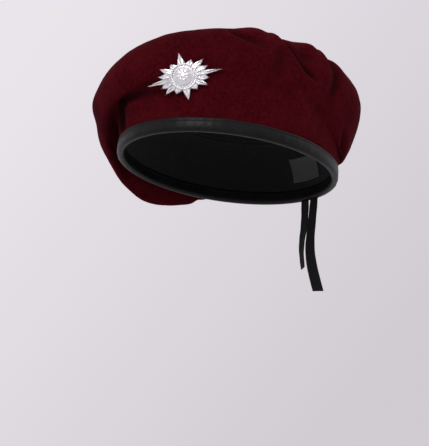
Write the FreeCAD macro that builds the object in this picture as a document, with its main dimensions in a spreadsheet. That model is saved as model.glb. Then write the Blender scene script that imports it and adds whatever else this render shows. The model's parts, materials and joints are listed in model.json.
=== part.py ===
import FreeCAD, Part
import math
import os

from FreeCAD import Placement, Rotation, Vector

# A felt beret with a leather binding, a drawstring, a lining, two vents and a
# metal badge held by two pin clutches.
# Frame: origin at the centre of the head opening, on the plane of the
# binding's lower edge. +Z up, -Y the wearer's front, +X the wearer's left.

os.makedirs("parts", exist_ok=True)
doc = FreeCAD.newDocument("Beret")

# ---------------------------------------------------------------- the sizes
# Every driving size has one cell with an alias. Millimetres and degrees.
SIZES = [
    # head opening: the inner face of the binding is an ellipse
    ("opening_length", 202.0), ("opening_width", 166.0),
    # leather binding: a strip folded to a U, open at the top
    ("leather_thick", 1.0), ("binding_height", 12.0), ("fold_round", 0.7),
    # drawstring: flat ribbon inside the binding, both ends out at the back
    ("ribbon_width", 10.0), ("ribbon_thick", 0.8), ("ribbon_gap", 0.3),
    ("exit_spacing", 12.0), ("exit_margin", 1.0), ("exit_depth", 2.6),
    ("tail_start", 0.3),
    # felt crown
    ("felt_thick", 2.5), ("felt_lift", 0.5), ("crown_height", 111.0),
    ("top_shift_left", 22.0), ("top_shift_back", 2.0), ("top_flat", 3.0),
    # lining: an oval dome in two cloth pieces, and a blank label inside it
    ("lining_thick", 0.6), ("lining_headroom", 29.0), ("lining_seam", 44.0),
    ("label_width", 34.0), ("label_height", 22.0), ("label_thick", 0.4),
    ("label_level", 30.0),
    # badge: an oval sunburst plate, curved to the cap, with a domed boss
    ("badge_width", 70.0), ("badge_height", 43.0), ("badge_thick", 1.6),
    ("badge_bend", 105.0), ("badge_direction", 30.0), ("badge_station", 0.37),
    ("badge_tilt", 15.0), ("badge_nod", 3.0), ("badge_standoff", 3.2),
    ("boss_width", 19.0), ("boss_rise", 4.2), ("ring_wire", 2.0),
    ("post_spacing", 26.0), ("post_wire", 1.3), ("post_length", 12.0),
    ("post_fit", 0.4),
    # stiffener panel behind the badge
    ("panel_width", 86.0), ("panel_height", 58.0), ("panel_thick", 0.9),
    ("panel_corner", 9.0),
    # pin clutches that hold the badge from inside
    ("clutch_width", 11.5), ("clutch_hub", 7.0), ("clutch_thick", 4.2),
    ("clutch_flange", 1.2), ("clutch_gap", 0.4),
    # vent eyelets on the wearer's right
    ("vent_bore", 5.0), ("vent_flange", 10.0), ("vent_rim", 0.9),
    ("vent_spread", 13.0), ("vent_station", 0.722), ("vent_barrel", 0.6),
    ("vent_fit", 0.1),
]

sheet = doc.addObject("Spreadsheet::Sheet", "Sizes")
for row, (alias, number) in enumerate(SIZES, start=1):
    sheet.set("A%d" % row, alias)
    sheet.set("B%d" % row, str(number))
    sheet.setAlias("B%d" % row, alias)
doc.recompute()


def size(alias):
    """The number in the cell with this alias."""
    return float(sheet.get(alias))


def bind(item, **formulas):
    """Bind properties of an object to formulas of the sheet's aliases."""
    for prop, formula in formulas.items():
        words = formula.replace("(", " ( ").replace(")", " ) ").split()
        names = {alias for alias, _ in SIZES}
        text = " ".join("Sizes." + w if w in names else w for w in words)
        item.setExpression(prop.replace("__", "."), text)
    return item


def primitive(kind, name, **formulas):
    return bind(doc.addObject("Part::" + kind, name), **formulas)


def cut(name, base, tool):
    item = doc.addObject("Part::Cut", name)
    item.Base, item.Tool = base, tool
    return item


def common(name, first, second):
    item = doc.addObject("Part::Common", name)
    item.Base, item.Tool = first, second
    return item


def feature(name, shape, placement=None):
    item = doc.addObject("Part::Feature", name)
    item.Shape = shape
    if placement is not None:
        item.Placement = placement
    return item


def oval_block(name, offset, bottom, top):
    """An upright oval block, its side at this offset from the opening."""
    oval = primitive(
        "Ellipse", name + "_oval",
        MajorRadius="opening_length / 2 + ( %s )" % offset,
        MinorRadius="opening_width / 2 + ( %s )" % offset)
    turn_long_way_to_y = Rotation(Vector(0, 0, 1), 90)
    oval.Placement = Placement(Vector(0, 0, 0), turn_long_way_to_y)
    bind(oval, Placement__Base__z=bottom)
    block = doc.addObject("Part::Extrusion", name)
    block.Base = oval
    block.DirMode = "Custom"
    block.Dir = Vector(0, 0, 1)
    block.Solid = True
    return bind(block, LengthFwd="( %s ) - ( %s )" % (top, bottom))


# Offsets outwards from the opening, layer by layer.
INNER_LEAF = "leather_thick"
RIBBON_IN = INNER_LEAF + " + ribbon_gap"
RIBBON_OUT = RIBBON_IN + " + ribbon_thick"
FELT_IN = RIBBON_OUT + " + ribbon_gap"
FELT_OUT = FELT_IN + " + felt_thick"
LEAF_IN = FELT_OUT
BINDING_OUT = LEAF_IN + " + leather_thick"
PAST = 5.0                      # how far a cutting tool runs past a face

# ------------------------------------------------------ the leather binding
binding_block = oval_block("binding_block", BINDING_OUT, "0", "binding_height")
rounded_block = doc.addObject("Part::Fillet", "rounded_block")
rounded_block.Base = binding_block
doc.recompute()
low_edges = [
    number for number, edge in enumerate(binding_block.Shape.Edges, start=1)
    if abs(edge.BoundBox.ZMax) < 0.01 and edge.BoundBox.ZLength < 0.01]
fold_round = size("fold_round")
rounded_block.Edges = [(number, fold_round, fold_round) for number in low_edges]

opening_block = oval_block("opening_block", "0", "-%g" % PAST,
                           "binding_height + %g" % PAST)
ring_block = cut("ring_block", rounded_block, opening_block)

channel_outside = oval_block("channel_outside", LEAF_IN, "leather_thick",
                             "binding_height + %g" % PAST)
channel_inside = oval_block("channel_inside", INNER_LEAF, "0",
                            "binding_height + 2 * %g" % PAST)
channel = cut("channel", channel_outside, channel_inside)
folded_strip = cut("folded_strip", ring_block, channel)

# The drawstring's slot through the fold, at the centre of the back.
exit_slot = primitive(
    "Box", "exit_slot",
    Length="exit_spacing + ribbon_width + 2 * exit_margin",
    Width="exit_depth", Height="leather_thick + %g" % PAST)
bind(exit_slot,
     Placement__Base__x="-( exit_spacing + ribbon_width + 2 * exit_margin ) / 2",
     Placement__Base__y="opening_length / 2 + " + INNER_LEAF,
     Placement__Base__z="-%g" % PAST)
leather_binding = cut("leather_binding", folded_strip, exit_slot)

# ------------------------------------------------------------ the drawstring
RIBBON_BOTTOM = "leather_thick + ribbon_gap"
RIBBON_TOP = RIBBON_BOTTOM + " + ribbon_width"
ribbon_outside = oval_block("ribbon_outside", RIBBON_OUT, RIBBON_BOTTOM, RIBBON_TOP)
ribbon_inside = oval_block("ribbon_inside", RIBBON_IN, "0",
                           RIBBON_TOP + " + %g" % PAST)
closed_ribbon = cut("closed_ribbon", ribbon_outside, ribbon_inside)
# The two ends stop either side of the back centre, above the slot.
end_gap = primitive("Box", "end_gap", Length="exit_spacing - ribbon_width",
                    Width="opening_length", Height="binding_height * 2")
bind(end_gap, Placement__Base__x="-( exit_spacing - ribbon_width ) / 2",
     Placement__Base__y="0")
drawstring_loop = cut("drawstring_loop", closed_ribbon, end_gap)

# The tails hang from the slot: (back, up) points of each route, measured
# from the middle of the slot. They swing in at the nape, then outwards.
LEFT_TAIL_ROUTE = [(0.0, 0.0), (-0.7, -16.0), (-2.1, -33.0), (-2.7, -49.0),
                   (0.3, -63.5), (5.6, -77.0), (11.0, -88.5)]
RIGHT_TAIL_ROUTE = [(0.0, 0.0), (0.9, -13.0), (0.4, -27.5), (-1.6, -41.0),
                    (-1.4, -54.5), (1.6, -66.5)]
ARC_SHARE = 0.45


def tail_path(route, start):
    """Straight runs joined by tangent arcs, as large as the runs allow."""
    points = [Vector(0, back, up) + start for back, up in route]
    edges, here, radii = [], points[0], []
    for before, corner, after in zip(points, points[1:], points[2:]):
        run_in, run_out = corner - before, after - corner
        half_turn = run_in.getAngle(run_out) / 2
        trim = ARC_SHARE * min(run_in.Length, run_out.Length)
        radii.append(trim / math.tan(half_turn))
        enter = corner - run_in.normalize() * trim
        leave = corner + run_out.normalize() * trim
        inwards = (enter + leave) * 0.5 - corner
        inwards.normalize()
        reach = radii[-1] / math.cos(half_turn) - radii[-1]
        edges.append(Part.LineSegment(here, enter).toShape())
        edges.append(Part.Arc(enter, corner + inwards * reach, leave).toShape())
        here = leave
    edges.append(Part.LineSegment(here, points[-1]).toShape())
    print("tail radii", [round(radius, 1) for radius in radii])
    return Part.Wire(edges)


def ribbon_tail(name, route, side):
    """One flat end of the drawstring, hanging on its side of the centre."""
    slot_middle = size("opening_length") / 2 + size("leather_thick") \
        + size("exit_depth") / 2
    start = Vector(side * size("exit_spacing") / 2, slot_middle, -size("tail_start"))
    path = tail_path(route, start)
    half_width, half_thick = size("ribbon_width") / 2, size("ribbon_thick") / 2
    first_run = path.Edges[0].tangentAt(path.Edges[0].FirstParameter)
    flat = Vector(1, 0, 0)
    face_way = flat.cross(first_run)
    corners = [start + flat * (half_width * a) + face_way * (half_thick * b)
               for a, b in ((1, 1), (-1, 1), (-1, -1), (1, -1), (1, 1))]
    section = Part.makePolygon(corners)
    solid = path.makePipeShell([section], True, False)
    expected = size("ribbon_width") * size("ribbon_thick") * path.Length
    print(name, "length %.1f" % path.Length, "volume %.4f of section x length"
          % (solid.Volume / expected))
    return feature(name, solid)


drawstring_tail_left = ribbon_tail("drawstring_tail_left", LEFT_TAIL_ROUTE, 1)
drawstring_tail_right = ribbon_tail("drawstring_tail_right", RIGHT_TAIL_ROUTE, -1)

# ------------------------------------------------------------ the felt crown
# The crown is drawn by profiles in eight directions: front, front left, left,
# back left, back, back right, right, front right. Reach is millimetres out
# from the opening; height is a share of the crown's height. The felt stands
# up from the binding as a wall, rolls outwards, hangs down to a fold and
# comes back up over its widest line to the top.
LIP_REACH = [5.5, 5, 5, 5.5, 6, 7, 7, 6]
LIP_RISE = [8, 8, 8, 5, 4, 3, 4, 8]     # millimetres above the binding
WALL_REACH = [7, 5, 5, 6.5, 6.5, 8, 9, 7]
WALL_HEIGHT = [.27, .34, .325, .2, .2, .2, .2, .29]
ROLL_REACH = [12, 5.5, 5.5, 7.5, 8, 12, 16, 11]
ROLL_HEIGHT = [.34, .43, .415, .2, .25, .235, .2, .325]
TUCK_REACH = [15, 6, 6, 9, 9, 15, 22, 14]
TUCK_HEIGHT = [.34, .485, .47, .18, .305, .18, .035, .21]
FOLD_REACH = [20, 7, 7, 13, 12, 19, 30, 21]
FOLD_HEIGHT = [.34, .54, .52, .215, .36, .155, -.145, .1]
WIDE_REACH = [26, 9, 9, 23.5, 24, 28, 35, 37]
WIDE_HEIGHT = [.505, .65, .665, .505, .56, .38, .055, .33]
SHOULDER_REACH = [15, 5, 1, 25.5, 25, 23, 25, 28]
SHOULDER_HEIGHT = [.81, .88, .915, .83, .69, .505, .34, .6]
UPPER_HEIGHT = [.92, .99, 1.01, .99, .87, .72, .665, .81]
PROFILE_ROWS = [(WALL_REACH, WALL_HEIGHT), (ROLL_REACH, ROLL_HEIGHT),
                (TUCK_REACH, TUCK_HEIGHT), (FOLD_REACH, FOLD_HEIGHT),
                (WIDE_REACH, WIDE_HEIGHT), (SHOULDER_REACH, SHOULDER_HEIGHT)]
UPPER_SHARE = 0.56              # of the way from the top out to the shoulder
NEAR_TOP_SHARE = 0.45           # of the way from the top out to the upper ring
NEAR_TOP_BLEND = 0.85           # of the top's own height at that ring
DIRECTIONS = 24
RING_PASSES = 12


def around(dial, angle):
    """The dial's value at an angle, smooth through its eight settings."""
    count = len(dial)
    place = angle / (2 * math.pi) * count
    first = int(math.floor(place))
    f = place - first
    a, b, c, d = (dial[(first + k) % count] for k in (-1, 0, 1, 2))
    return 0.5 * (2 * b + (c - a) * f + (2 * a - 5 * b + 4 * c - d) * f ** 2
                  + (3 * b - 3 * c + d - a) * f ** 3)


def out_from_opening(angle, reach, height):
    """The point this far out from the opening, in this direction."""
    half_length, half_width = size("opening_length") / 2, size("opening_width") / 2
    edge = Vector(half_width * math.sin(angle), -half_length * math.cos(angle), height)
    outwards = Vector(math.sin(angle) / half_width, -math.cos(angle) / half_length, 0)
    return edge + outwards.normalize() * reach


def profile(angle):
    """Control points of the felt's outer face in one direction, binding to top."""
    high, binding = size("crown_height"), size("binding_height")
    felt_bottom = size("leather_thick") + size("felt_lift")
    felt_out = size("leather_thick") + 2 * size("ribbon_gap") \
        + size("ribbon_thick") + size("felt_thick")
    top = Vector(size("top_shift_left"), size("top_shift_back"), high)
    points = [out_from_opening(angle, felt_out, felt_bottom),
              out_from_opening(angle, felt_out, binding),
              out_from_opening(angle, around(LIP_REACH, angle),
                               binding + around(LIP_RISE, angle))]
    points += [out_from_opening(angle, around(reach, angle), high * around(height, angle))
               for reach, height in PROFILE_ROWS]
    shoulder = points[-1]
    upper = top + (shoulder - top) * UPPER_SHARE
    upper.z = high * around(UPPER_HEIGHT, angle)
    near_top = top + (upper - top) * NEAR_TOP_SHARE
    near_top.z = upper.z * (1 - NEAR_TOP_BLEND) + top.z * NEAR_TOP_BLEND
    outwards = Vector(upper.x - top.x, upper.y - top.y, 0).normalize()
    return points + [upper, near_top, top + outwards * size("top_flat")]


def moved_in(columns, inset):
    """The net of control points, each moved in along the face's normal."""
    last = len(columns[0]) - 1
    result = []
    for k, column in enumerate(columns):
        after, before = columns[(k + 1) % DIRECTIONS], columns[k - 1]
        moved = []
        for row, point in enumerate(column):
            up = column[min(row + 1, last)] - column[max(row - 1, 0)]
            outwards = (after[row] - before[row]).cross(up).normalize()
            if row == last:
                outwards = Vector(0, 0, 1)
            moved.append(point - outwards * inset)
        result.append(moved)
    return result


def through_ring(ring):
    """Poles of the closed uniform cubic that goes through a ring of points."""
    poles = list(ring)
    for _ in range(RING_PASSES):
        poles = [pole + ring[k] - (poles[k - 1] + pole * 4
                                   + poles[(k + 1) % len(ring)]) * (1 / 6)
                 for k, pole in enumerate(poles)]
    return poles


def crown_face(inset, run_down=0.0):
    """The crown's face as one closed surface, this far in from the felt's."""
    columns = moved_in([profile(2 * math.pi * k / DIRECTIONS)
                        for k in range(DIRECTIONS)], inset)
    rows = [through_ring([column[row] for column in columns])
            for row in range(len(columns[0]))]
    rows[0] = [point - Vector(0, 0, run_down) for point in rows[0]]
    spans = len(rows) - 3
    surface = Part.BSplineSurface()
    surface.buildFromPolesMultsKnots(
        [[row[k] for row in rows] for k in range(DIRECTIONS)],
        [1] * (DIRECTIONS + 1), [4] + [1] * (spans - 1) + [4],
        list(range(DIRECTIONS + 1)), list(range(spans + 1)),
        True, False, 3, 3)
    return surface


def crown_solid(inset, run_down=0.0):
    """The crown's form as a full solid, closed flat below and at the top."""
    side = crown_face(inset, run_down).toShape()
    rims = [edge for edge in side.Edges if edge.BoundBox.ZLength < 0.01]
    caps = [Part.Face(Part.Wire([rim])) for rim in rims]
    skin = Part.makeShell([side] + caps)
    skin.sewShape()
    solid = Part.makeSolid(skin.Shells[0])
    if solid.Volume < 0:
        solid.reverse()
    return solid


felt_face = crown_face(0)
felt_body = feature("felt_body", crown_solid(0))
felt_hollow = feature("felt_hollow", crown_solid(size("felt_thick"), run_down=1.0))
felt_shell = cut("felt_shell", felt_body, felt_hollow)

# ----------------------------------------------------------------- the badge
# In its own frame the badge faces +Z, with +Y up and +X towards the wearer's
# left; this places that frame on the cap.
def felt_frame(direction, station):
    """Point of the felt's outer face and the way out of it there."""
    turn = direction / 360 * DIRECTIONS - 1
    along = station * (felt_face.NbVKnots - 1)
    here, outwards = felt_face.value(turn, along), felt_face.normal(turn, along)
    if outwards.dot(Vector(here.x, here.y, 0)) < 0:
        outwards = outwards * -1
    return here, outwards


badge_spot, facing = felt_frame(size("badge_direction"), size("badge_station"))
level_way = Vector(0, 0, 1).cross(facing).normalize()
badge_turn = Rotation(level_way, facing.cross(level_way), facing, "ZXY")
badge_turn = badge_turn.multiply(Rotation(Vector(1, 0, 0), -size("badge_nod")))
badge_turn = badge_turn.multiply(Rotation(Vector(0, 0, 1), size("badge_tilt")))
facing = badge_turn.multVec(Vector(0, 0, 1))
badge_place = Placement(badge_spot + facing * size("badge_standoff"), badge_turn)


def sunburst(width, height):
    """Eight long and eight short rays, as a flat outline."""
    points = []
    for k in range(32):
        angle = math.pi * k / 16
        if k % 4 == 0:
            share = 1.0 if k % 8 == 0 else 0.78
        elif k % 4 == 2:
            share = 0.66
        else:
            share = 0.52
        points.append(Vector(share * width / 2 * math.cos(angle),
                             share * height / 2 * math.sin(angle), 0))
    return Part.Face(Part.makePolygon(points + points[:1]))


bend, badge_thick = size("badge_bend"), size("badge_thick")
burst_prism = sunburst(size("badge_width"), size("badge_height")).extrude(
    Vector(0, 0, 2 * bend))
burst_prism.translate(Vector(0, 0, -bend))
tall = 2 * size("badge_height")
outer_bend = Part.makeCylinder(bend + badge_thick, tall, Vector(0, -tall / 2, -bend),
                               Vector(0, 1, 0))
inner_bend = Part.makeCylinder(bend, tall, Vector(0, -tall / 2, -bend), Vector(0, 1, 0))
front_half = Part.makeBox(2 * bend, tall, 2 * bend, Vector(-bend, -tall / 2, -bend / 2))
plate_shape = burst_prism.common(outer_bend.cut(inner_bend)).common(front_half)
badge_plate = feature("badge_plate", plate_shape, badge_place)

half_boss, boss_rise = size("boss_width") / 2, size("boss_rise")
ring_radius = size("ring_wire") / 2
dome_radius = (half_boss ** 2 + boss_rise ** 2) / (2 * boss_rise)
dome = Part.makeSphere(dome_radius,
                       Vector(0, 0, badge_thick + boss_rise - dome_radius))
boss_column = Part.makeCylinder(half_boss, 3 * boss_rise + badge_thick,
                                Vector(0, 0, -boss_rise))
badge_boss = feature("badge_boss", dome.common(boss_column).cut(outer_bend),
                     badge_place)

ring_shape = Part.makeTorus(half_boss + ring_radius, ring_radius,
                            Vector(0, 0, badge_thick), Vector(0, 0, 1))
badge_ring = feature("badge_ring", ring_shape.cut(outer_bend), badge_place)

# Two posts are soldered to the back of the plate and go through the felt.
post_radius = size("post_wire") / 2
half_spacing = size("post_spacing") / 2
post_root = math.sqrt(bend ** 2 - half_spacing ** 2) - bend
posts, post_holes = [], []
for side in (-1, 1):
    foot = Vector(side * half_spacing, 0, -size("post_length"))
    long_post = Part.makeCylinder(post_radius, size("post_length") + badge_thick / 2, foot)
    tip = Part.makeCone(0.3 * post_radius, post_radius, 2 * post_radius,
                        foot - Vector(0, 0, 2 * post_radius))
    posts.append(long_post.cut(outer_bend.cut(inner_bend)).fuse(tip).removeSplitter())
    post_holes.append(Part.makeCylinder(post_radius + size("post_fit"),
                                        size("post_length") + badge_thick, foot))
badge_posts = feature("badge_posts", Part.makeCompound(
    [solid for post in posts for solid in post.Solids[:1]]), badge_place)
holes_tool = feature("holes_tool", Part.makeCompound(post_holes), badge_place)

# ------------------------------------------------ the stiffener panel inside
panel_width, panel_height = size("panel_width"), size("panel_height")
corner = size("panel_corner")
PANEL_REACH = 40.0              # the panel's cutter runs this far in and out
panel_prism = Part.makeBox(panel_width, panel_height, 2 * PANEL_REACH,
                           Vector(-panel_width / 2, -panel_height / 2,
                                  -PANEL_REACH))
upright = [edge for edge in panel_prism.Edges
           if abs(edge.Vertexes[0].Z - edge.Vertexes[-1].Z) > 1]
panel_tool = feature("panel_tool", panel_prism.makeFillet(corner, upright), badge_place)
panel_outside = feature("panel_outside", crown_solid(size("felt_thick")))
panel_inside = feature("panel_inside",
                       crown_solid(size("felt_thick") + size("panel_thick")))
panel_layer = cut("panel_layer", panel_outside, panel_inside)
panel_blank = common("panel_blank", panel_layer, panel_tool)
badge_stiffener = cut("badge_stiffener", panel_blank, holes_tool)

# ---------------------------------------------------------- the pin clutches
# Each is a flanged cup pushed on to a post against the panel.
doc.recompute()


def depth_of_panel(side):
    """How far behind the badge's frame the panel's inner face is at a post."""
    ray_start = badge_place.multVec(Vector(side * half_spacing, 0, 0))
    ray_end = badge_place.multVec(Vector(side * half_spacing, 0, -40))
    reach = size("clutch_width") / 2
    depths = []
    for across, upwards in ((0, 0), (1, 0), (-1, 0), (0, 1), (0, -1)):
        shift = badge_turn.multVec(Vector(across * reach, upwards * reach, 0))
        line = Part.makeLine(ray_start + shift, ray_end + shift)
        through = panel_inside.Shape.common(line)
        depths.append(min((vertex.Point - ray_start - shift).Length
                          for vertex in through.Vertexes))
    return max(depths)


def clutch(name, side):
    """A flanged cup on one post, just off the panel's inner face."""
    depth = depth_of_panel(side) + size("clutch_gap")
    centre = Vector(side * half_spacing, 0, 0)
    hub, flange = size("clutch_hub") / 2, size("clutch_width") / 2
    bore = post_radius + size("post_fit")
    flange_back = -depth - size("clutch_flange")
    cup_back = -depth - size("clutch_thick")
    outline = [centre + Vector(out, 0, level) for out, level in (
        (bore, -depth), (flange, -depth), (flange, flange_back),
        (hub, flange_back), (hub, cup_back), (bore, cup_back))]
    section = Part.Face(Part.makePolygon(outline + outline[:1]))
    return feature(name, section.revolve(centre, Vector(0, 0, 1), 360), badge_place)


clutch_front = clutch("clutch_front", -1)
clutch_rear = clutch("clutch_rear", 1)

# ----------------------------------------------------------------- the vents
# Brass eyelets through the felt, each with a washer on the inner side.
def vent_frame(side):
    """Placement on the felt's outer face, +Z outwards."""
    here, outwards = felt_frame(270 + side * size("vent_spread") / 2,
                                size("vent_station"))
    return Placement(here, Rotation(Vector(0, 0, 1), outwards))


def tube(outer, bore, low, high):
    rod = Part.makeCylinder(outer, high - low, Vector(0, 0, low))
    return rod.cut(Part.makeCylinder(bore, high - low, Vector(0, 0, low)))


vent_bore, vent_flange = size("vent_bore") / 2, size("vent_flange") / 2
vent_rim = size("vent_rim")
barrel = vent_bore + size("vent_barrel")
felt_thick, vent_fit = size("felt_thick"), size("vent_fit")
seat = 0.45                     # the flat flange clears the curved felt by this
eyelets, washers, vent_holes = [], [], []
for side in (-1, 1):
    place = vent_frame(side)
    flange_ring = tube(vent_flange, vent_bore, seat, seat + vent_rim)
    rim_edges = [edge for edge in flange_ring.Edges
                 if abs(edge.BoundBox.ZMin - seat - vent_rim) < 0.01
                 and edge.BoundBox.XLength > 2 * vent_bore + 0.1]
    flange_ring = flange_ring.makeFillet(vent_rim * 0.6, rim_edges)
    stem = tube(barrel, vent_bore, -felt_thick - seat - vent_rim, seat)
    eyelet = flange_ring.fuse(stem).removeSplitter()
    washer = tube(vent_flange, barrel, -felt_thick - seat - vent_rim, -felt_thick - seat)
    hole = Part.makeCylinder(barrel + vent_fit, felt_thick + 4 * seat,
                             Vector(0, 0, -felt_thick - 2 * seat))
    for shape, group in ((eyelet, eyelets), (washer, washers), (hole, vent_holes)):
        shape = shape.copy()
        shape.Placement = place
        group.append(shape)
vent_eyelets = feature("vent_eyelets", Part.makeCompound(
    [solid for shape in eyelets for solid in shape.Solids]))
vent_washers = feature("vent_washers", Part.makeCompound(
    [solid for shape in washers for solid in shape.Solids]))
vents_tool = feature("vents_tool", Part.makeCompound(vent_holes))

felt_with_vents = cut("felt_with_vents", felt_shell, vents_tool)
felt_crown = cut("felt_crown", felt_with_vents, holes_tool)

# ---------------------------------------------------------------- the lining
# An oval dome that stands on the binding's inner leaf, sewn from a side piece
# and a top piece.
LINING_TOP = "crown_height - lining_headroom - binding_height"


def dome_block(name, inwards):
    """Half of an ellipsoid over the opening, this far in from the lining's face."""
    block = primitive(
        "Ellipsoid", name,
        Radius1=LINING_TOP + " - ( %s )" % inwards,
        Radius2="opening_width / 2 + leather_thick - ( %s )" % inwards,
        Radius3="opening_length / 2 + leather_thick - ( %s )" % inwards)
    block.Angle1, block.Angle2, block.Angle3 = 0, 90, 360
    return bind(block, Placement__Base__z="binding_height")


def dome_shell(name, outside, inside):
    """The layer of a dome between two insets."""
    return cut(name, dome_block(name + "_outside", outside),
               dome_block(name + "_inside", inside))


def seam_block(name, low, high):
    block = primitive("Box", name, Length="2 * opening_width",
                      Width="2 * opening_length",
                      Height="( %s ) - ( %s )" % (high, low))
    return bind(block, Placement__Base__x="- opening_width",
                Placement__Base__y="- opening_length", Placement__Base__z=low)


SEAM_LEVEL = "binding_height + lining_seam"
lining_side = common("lining_side", dome_shell("side_cloth", "0", "lining_thick"),
                     seam_block("below_seam", "0", SEAM_LEVEL))
lining_crown = common("lining_crown", dome_shell("top_cloth", "0", "lining_thick"),
                      seam_block("above_seam", SEAM_LEVEL, "2 * crown_height"))

label_tool = primitive("Box", "label_tool", Length="label_width",
                       Width="opening_length", Height="label_height")
bind(label_tool, Placement__Base__x="- label_width / 2", Placement__Base__y="0",
     Placement__Base__z="label_level - label_height / 2")
size_label = common("size_label", dome_shell("label_cloth", "lining_thick",
                                             "lining_thick + label_thick"), label_tool)

# ------------------------------------------------------- check, then write
SUB_PARTS = [
    felt_crown, leather_binding, drawstring_loop, drawstring_tail_left,
    drawstring_tail_right, lining_side, lining_crown, size_label, badge_plate,
    badge_boss, badge_ring, badge_posts, badge_stiffener, clutch_front, clutch_rear,
    vent_eyelets, vent_washers]

doc.recompute()
for item in doc.Objects:
    if "Invalid" in item.State or "Error" in item.State:
        raise RuntimeError("%s did not build: %s" % (item.Name, item.State))
for item in SUB_PARTS:
    item.Label = item.Name
    shape = item.Shape
    if shape.isNull() or not shape.isValid() or not shape.Solids:
        raise RuntimeError("%s has no valid solid" % item.Name)
    box = shape.BoundBox
    print("%-22s solids %d volume %9.1f  x %.1f..%.1f y %.1f..%.1f z %.1f..%.1f" % (
        item.Name, len(shape.Solids), shape.Volume, box.XMin, box.XMax,
        box.YMin, box.YMax, box.ZMin, box.ZMax))
for item in SUB_PARTS:
    item.Shape.exportStep("parts/%s.step" % item.Name)
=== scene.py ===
"""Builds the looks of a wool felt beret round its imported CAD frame.

Shapes are worked out in millimetres and put into the meshes in metres. +Z is up through
the crown, -Y is the wearer's front and +X is the wearer's left. A direction is an angle
round the opening, from the front towards the wearer's left. A station is a share of the
way up the felt, from the edge inside the binding (0) to the top (1).
"""

import json
import logging
import math
from dataclasses import dataclass
from enum import Enum

import bmesh
import bpy
import numpy as np
from mathutils import Matrix, Vector, kdtree, noise


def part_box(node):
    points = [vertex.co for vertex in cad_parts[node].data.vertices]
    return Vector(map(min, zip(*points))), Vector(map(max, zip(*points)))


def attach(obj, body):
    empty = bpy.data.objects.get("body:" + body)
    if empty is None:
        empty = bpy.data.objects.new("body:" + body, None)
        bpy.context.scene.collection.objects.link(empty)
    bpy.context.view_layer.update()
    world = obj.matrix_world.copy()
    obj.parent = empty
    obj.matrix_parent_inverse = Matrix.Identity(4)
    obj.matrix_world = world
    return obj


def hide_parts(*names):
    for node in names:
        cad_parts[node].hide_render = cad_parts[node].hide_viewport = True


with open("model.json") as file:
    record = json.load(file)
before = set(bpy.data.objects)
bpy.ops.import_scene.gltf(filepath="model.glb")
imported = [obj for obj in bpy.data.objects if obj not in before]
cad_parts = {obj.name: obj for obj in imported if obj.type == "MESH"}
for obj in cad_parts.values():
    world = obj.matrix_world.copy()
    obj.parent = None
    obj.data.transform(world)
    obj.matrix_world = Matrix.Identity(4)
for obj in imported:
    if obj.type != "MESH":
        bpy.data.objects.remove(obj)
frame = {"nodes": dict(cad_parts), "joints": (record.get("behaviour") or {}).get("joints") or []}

log = logging.getLogger("beret")
MM = 0.001
Points = np.ndarray
PATH_POINTS = 48  # points along a fold's line
PATH_ROUNDS = 3  # times that such a line is smoothed


class Slot(Enum):
    """Material slots of the record, passed along with new pieces."""

    FELT = "wool_felt"
    LEATHER = "binding_leather"
    RIBBON = "ribbon"
    LINING = "lining_cloth"
    LABEL = "label_cloth"
    BADGE = "badge_metal"


# ---------------------------------------------------------------- small tools
def unit(vectors: Points) -> Points:
    """Scale each row vector to length one."""
    lengths = np.linalg.norm(vectors, axis=-1, keepdims=True)
    return vectors / np.maximum(lengths, 1e-12)


def smooth_step(value: Points, low: float, high: float) -> Points:
    """Rise smoothly from 0 at low to 1 at high."""
    share = np.clip((value - low) / (high - low), 0.0, 1.0)
    return share * share * (3.0 - 2.0 * share)


def cloth_noise(points: Points, scale: float, seed: float) -> Points:
    """Smooth noise from -1 to 1 at each point.

    Args:
        points: Places in millimetres, one to a row.
        scale: Size of the noise's features in millimetres.
        seed: Shift that picks another patch of the same noise.

    Returns:
        One value for each point.
    """
    flat = points.reshape(-1, 3) / scale + seed
    values = [noise.noise(Vector(place)) for place in flat]
    return np.array(values).reshape(points.shape[:-1])


def grid_faces(columns: int, rows: int, start: int = 0, flip: bool = False) -> list:
    """Quads of a grid that is closed round its columns.

    Args:
        columns: Number of points round the grid.
        rows: Number of points along each column.
        start: Index of the grid's first point.
        flip: Whether to turn the faces over.

    Returns:
        A list of corner indices for each face.
    """
    faces = []
    for column in range(columns):
        after = (column + 1) % columns
        for row in range(rows - 1):
            corners = [start + column * rows + row, start + after * rows + row,
                       start + after * rows + row + 1, start + column * rows + row + 1]
            faces.append(corners[::-1] if flip else corners)
    return faces


def make_piece(name: str, points: Points, faces: list, tidy_normals: bool = True
               ) -> bpy.types.Object:
    """A smooth-shaded mesh object at the origin, from points in millimetres.

    Args:
        name: Name of the object.
        points: Places in millimetres, one to a row.
        faces: Corner indices of each face.
        tidy_normals: Whether to turn all faces outwards, for a closed mesh.

    Returns:
        The new object, linked to the scene.
    """
    mesh = bpy.data.meshes.new(name)
    mesh.from_pydata((points.reshape(-1, 3) * MM).tolist(), [], faces)
    mesh.validate()
    if tidy_normals:
        work = bmesh.new()
        work.from_mesh(mesh)
        bmesh.ops.recalc_face_normals(work, faces=work.faces)
        work.to_mesh(mesh)
        work.free()
    mesh.shade_smooth()
    piece = bpy.data.objects.new(name, mesh)
    bpy.context.scene.collection.objects.link(piece)
    return piece


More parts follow.
